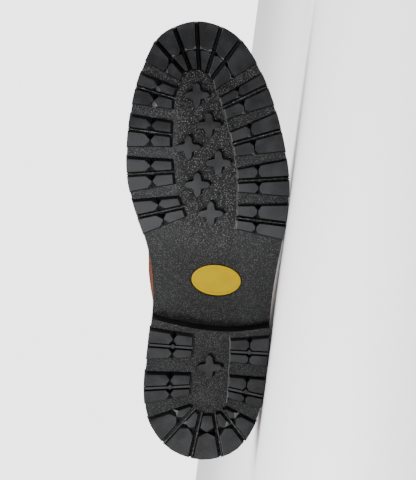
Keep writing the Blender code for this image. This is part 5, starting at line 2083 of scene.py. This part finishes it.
@dataclass
class Upper:
    """Leather shell over the last, with its lining and seams, and the tongue behind the throat."""

    last: Last
    throat: Throat
    placement: Placement
    rows: int = 40
    vamp_columns: int = 46
    facing_columns: int = 30
    back_columns: int = 40
    vamp_end: float = 0.492
    weld: float = 0.02 * MM
    rounding: float = 0.7 * MM
    edge_angle: float = 60
    stitch_pitch: float = 3.5 * MM
    stitch_length: float = 2.7 * MM
    quarter_rows: tuple[float, float] = (2.2 * MM, 4.8 * MM)
    facing_rows: tuple[float, float] = (3.0 * MM, 15.5 * MM)
    collar_rows: tuple[float, float] = (4.0 * MM, 6.6 * MM)
    back_row: float = 6 * MM
    quarter_seam_step: float = 0.002
    quarter_seam_top: float = 0.94
    facing_margins: tuple[float, float] = (0.012, 0.006)
    collar_margins: tuple[float, float] = (0.01, 0.002)
    back_seam_foot: float = 0.99
    back_seam_top: float = 0.93
    seam_start: float = 0.1
    seam_points: int = 40
    collar_points: int = 60
    tongue_thickness: float = 2.2 * MM
    tongue_depth: float = 2.0 * MM
    tongue_above: float = 12 * MM
    tongue_tuck: float = 17 * MM
    tongue_margins: tuple[float, float] = (0.004, 0.006)
    tongue_rows: int = 34
    tuck_columns: int = 9
    middle_columns: int = 13
    tongue_step: float = 0.0235
    tongue_below: float = 0.8
    tongue_dip: float = 4 * MM

    @cached_property
    def feet(self) -> list[float]:
        """Ribs that the shell is drawn on, from the toe to the back of the heel."""
        vamp = np.linspace(0, self.vamp_end, self.vamp_columns)
        facing = np.linspace(self.last.quarter_start, self.last.facing_end, self.facing_columns)
        back = np.linspace(self.last.facing_end, 1, self.back_columns)[1:]
        return [float(foot) for foot in (*vamp, *facing, *back)]

    def surface(self, side: Side, foot: float, height: float) -> tuple[Vector, Vector]:
        """Place on the outside of the shell, creases and all.

        Args:
            side: the side of the boot.
            foot: the rib's foot.
            height: share of the rib's way up.

        Returns:
            The point and its normal.
        """
        last = self.last
        point = last.point(side, foot, height)
        normal = last.normal(side, foot, height)
        wall = last.vamp_wall if foot < last.quarter_start else last.quarter_wall
        depth = float(last.crease_depths(np.array([point]))[0])
        return point + normal * (wall - depth), normal

    def build_shell(self) -> bpy.types.Object:
        """Models the shell's inner face: a grid on the last, creased.

        Returns:
            The sheet, with a group of points that weighs its wall.
        """
        columns = [(Side.LATERAL, foot) for foot in self.feet]
        columns += [(Side.MEDIAL, foot) for foot in self.feet[-2::-1]]

        def on_last(column: int, row: int) -> Vector:
            """Place of a point of the grid."""
            return self.last.point(*columns[column], row / self.rows)

        piece = Bench.grid("leather_upper", len(columns) - 1, self.rows, on_last)
        group = piece.vertex_groups.new(name="wall")
        thin = self.last.vamp_wall / self.last.quarter_wall
        for index in range(len(piece.data.vertices)):
            _, foot = columns[index % len(columns)]
            group.add([index], 1.0 if foot >= self.last.quarter_start else thin, "REPLACE")
        Bench.outward_faces(piece, self.weld)
        points = np.array([vertex.co for vertex in piece.data.vertices])
        normals = np.array([vertex.normal for vertex in piece.data.vertices])
        creased = points - normals * self.last.crease_depths(points)[:, None]
        for vertex, place in zip(piece.data.vertices, creased):
            vertex.co = place
        return piece

    def build(self) -> None:
        """Models the upper and lays it down."""
        piece = self.build_shell()
        for finish in (UPPER_LEATHER, LINING_LEATHER, EDGE_LEATHER):
            piece.data.materials.append(finish.material)
        Bench.modify(
            piece, "SOLIDIFY", thickness=self.last.quarter_wall, offset=1, vertex_group="wall",
            material_offset=1, material_offset_rim=2,
        )
        for vertex in piece.data.vertices:
            vertex.co.z = max(vertex.co.z, self.last.sole.top(vertex.co.x))
        Bench.round_edges(piece, self.rounding, self.edge_angle)
        Bench.cut(piece, self.throat.cutters())
        Bench.smooth(piece, 40)
        self.build_seams()
        settle(piece, self.placement, "upper_leather", "upper")

    def row_behind(self, side: Side, foot: float, top: float, distance: float) -> list[tuple[Vector, Vector]]:
        """Row of stitches a distance behind a rib, up to a share of its way up."""
        heights = np.linspace(self.seam_start, top, self.seam_points)
        return [self.surface(side, self.last.foot_behind(side, foot, h, distance), h) for h in heights]

    def row_below(self, side: Side, feet: np.ndarray, distance: float) -> list[tuple[Vector, Vector]]:
        """Row of stitches a distance below the tops of some ribs."""
        return [self.surface(side, foot, self.last.height_from_top(side, foot, distance)) for foot in feet]

    def build_seams(self) -> None:
        """Sews the quarters' front edges, the facings, the collar and the back."""
        seam = Seam("upper_seam", SEAM_THREAD, self.placement, self.stitch_pitch, self.stitch_length)
        first, last = self.last.quarter_start, self.last.facing_end
        low, high = self.facing_margins
        facing = np.linspace(first + low, last - high, self.seam_points)
        front, back = self.collar_margins
        collar = np.linspace(last + front, 1 - back, self.collar_points)
        edge = first + self.quarter_seam_step
        for side in Side:
            for distance in self.quarter_rows:
                seam.add_row(self.row_behind(side, edge, self.quarter_seam_top, distance))
            for distance in self.facing_rows:
                seam.add_row(self.row_below(side, facing, distance))
            for distance in self.collar_rows:
                seam.add_row(self.row_below(side, collar, distance))
            seam.add_row(self.row_behind(side, self.back_seam_foot, self.back_seam_top, -self.back_row))
        seam.build("upper_leather")

    def tongue_row(self, foot: float) -> list[Vector]:
        """Points across the outer face of the tongue at a rib."""
        tucks = np.linspace(self.tongue_tuck, 0, self.tuck_columns)
        shares = np.linspace(0, 1, self.middle_columns)
        row = [self.last.from_top(Side.LATERAL, foot, tuck) for tuck in tucks[:-1]]
        row += [self.last.across_throat(foot, 0, share) for share in shares]
        row += [self.last.from_top(Side.MEDIAL, foot, tuck) for tuck in tucks[-2::-1]]
        return [point - normal * self.tongue_depth for point, normal in row]

    def build_tongue(self) -> None:
        """Models the tongue and lays it down."""
        low, high = self.tongue_margins
        start, end = self.last.quarter_start + low, self.last.facing_end - high
        rows = [self.tongue_row(float(foot)) for foot in np.linspace(start, end, self.tongue_rows)]
        dip = Vector((0, 0, self.tongue_dip))
        inside = self.tongue_row(start + self.tongue_step)
        below = [a + (a - b) * self.tongue_below - dip for a, b in zip(rows[0], inside)]
        inside = self.tongue_row(end - self.tongue_step)
        above = [a + (a - b).normalized() * self.tongue_above for a, b in zip(rows[-1], inside)]
        middle = [a.lerp(b, 0.5) for a, b in zip(rows[-1], above)]
        rows = [below, *rows, middle, above]
        columns = len(rows[0]) - 1
        piece = Bench.grid("leather_tongue", columns, len(rows) - 1, lambda column, row: rows[row][column])
        if sum(face.normal.x + face.normal.z for face in piece.data.polygons) < 0:
            Bench.edit(piece)
            bpy.ops.mesh.flip_normals()
            Bench.clear()
        piece.data.materials.append(TONGUE_LEATHER.material)
        Bench.modify(piece, "SOLIDIFY", thickness=self.tongue_thickness, offset=-1)
        Bench.round_edges(piece, self.rounding, self.edge_angle)
        Bench.smooth(piece, 40)
        settle(piece, self.placement, "upper_leather", "tongue")


@dataclass
class Studio:
    """Floor, light and camera."""

    placement: Placement
    centre: tuple[float, float] = (153.8 * MM, 1.2 * MM)
    distance: float = 2.0
    pixel: float = 0.698 * MM
    floor_side: float = 12
    floor_shade: float = 0.86
    key_place: tuple[float, float, float] = (-0.36, -0.51, -1.2)
    key_side: float = 0.22
    key_watts: float = 17
    top_place: tuple[float, float, float] = (-0.5, 0.1, 2.0)
    top_side: float = 1.3
    top_watts: float = 55
    world_front: float = 0.04
    world_back: float = 3.4
    world_turn: tuple[float, float] = (-0.5, 0.9)

    def build(self) -> None:
        """Sets up the studio."""
        self.add_floor()
        self.add_camera()
        self.add_lights()

    def add_floor(self) -> None:
        """Lays the pale floor."""
        Bench.clear()
        bpy.ops.mesh.primitive_plane_add(size=self.floor_side)
        floor = bpy.context.object
        floor.name = "studio_floor"
        shader = Shader("pale_floor")
        floor.data.materials.append(shader.finish(Base_Color=(self.floor_shade,) * 3, Roughness=0.9))

    def add_camera(self) -> None:
        """Puts the camera square to the sole, its up along the boot."""
        data = bpy.data.cameras.new("camera")
        camera = Bench.linked("camera", data)
        right, up, back = (self.placement.direction(*axis) for axis in ((0, 1, 0), (1, 0, 0), (0, 0, -1)))
        turn = Matrix((right, up, back)).transposed().to_4x4()
        camera.matrix_world = Matrix.Translation(self.placement.point(*self.centre, -self.distance)) @ turn
        data.sensor_fit = "VERTICAL"
        data.lens = data.sensor_height * self.distance / (IMAGE_HEIGHT_PX * self.pixel)
        bpy.context.scene.camera = camera

    def add_area(self, name: str, place: Sequence[float], size: float, watts: float) -> None:
        """Adds a square soft light that faces the origin, which the boot lies on.

        Args:
            name: its name.
            place: where it stands in the world, in metres.
            size: its side.
            watts: its power.
        """
        data = bpy.data.lights.new(name, "AREA")
        data.size = size
        data.energy = watts
        light = Bench.linked(name, data)
        light.location = place
        light.rotation_euler = Vector(place).to_track_quat("Z", "Y").to_euler()

    def add_lights(self) -> None:
        """Adds the surroundings, bright behind the boot and dim in front of it, and the soft lights."""
        world = bpy.data.worlds.new("studio")
        world.use_nodes = True
        graph = Graph(world.node_tree)
        background = world.node_tree.nodes["Background"]
        background.inputs["Color"].default_value = (1, 1, 1, 1)
        way = graph.node("ShaderNodeTexCoord", "Generated")
        backwards = graph.node("ShaderNodeSeparateXYZ", "Y", sockets={"Vector": way})
        spread = self.world_back - self.world_front
        strength = backwards.step(*self.world_turn) * spread + self.world_front
        graph.feed(background.inputs["Strength"], strength)
        bpy.context.scene.world = world
        self.add_area("key", self.placement.point(*self.key_place), self.key_side, self.key_watts)
        self.add_area("top", self.top_place, self.top_side, self.top_watts)


def main() -> None:
    """Builds the boot and the studio."""
    logging.basicConfig(level=logging.INFO, format="%(name)s: %(message)s")
    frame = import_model()
    placement = Placement(frame["record"])
    sole = SoleShape()
    last = Last(sole)
    plug = Plug(sole, placement)
    Studio(placement).build()
    Outsole(sole, placement, FOREPART, 0.0, plug=plug).build()
    Heel(sole, placement, HEEL, sole.lug_depth).build()
    plug.build()
    plates = Plates(last, placement)
    plates.build_welt()
    plates.build_insole()
    throat = Throat(last, placement)
    throat.build_eyelets()
    throat.build_lace()
    upper = Upper(last, throat, placement)
    upper.build()
    upper.build_tongue()


if __name__ == "__main__":
    main()
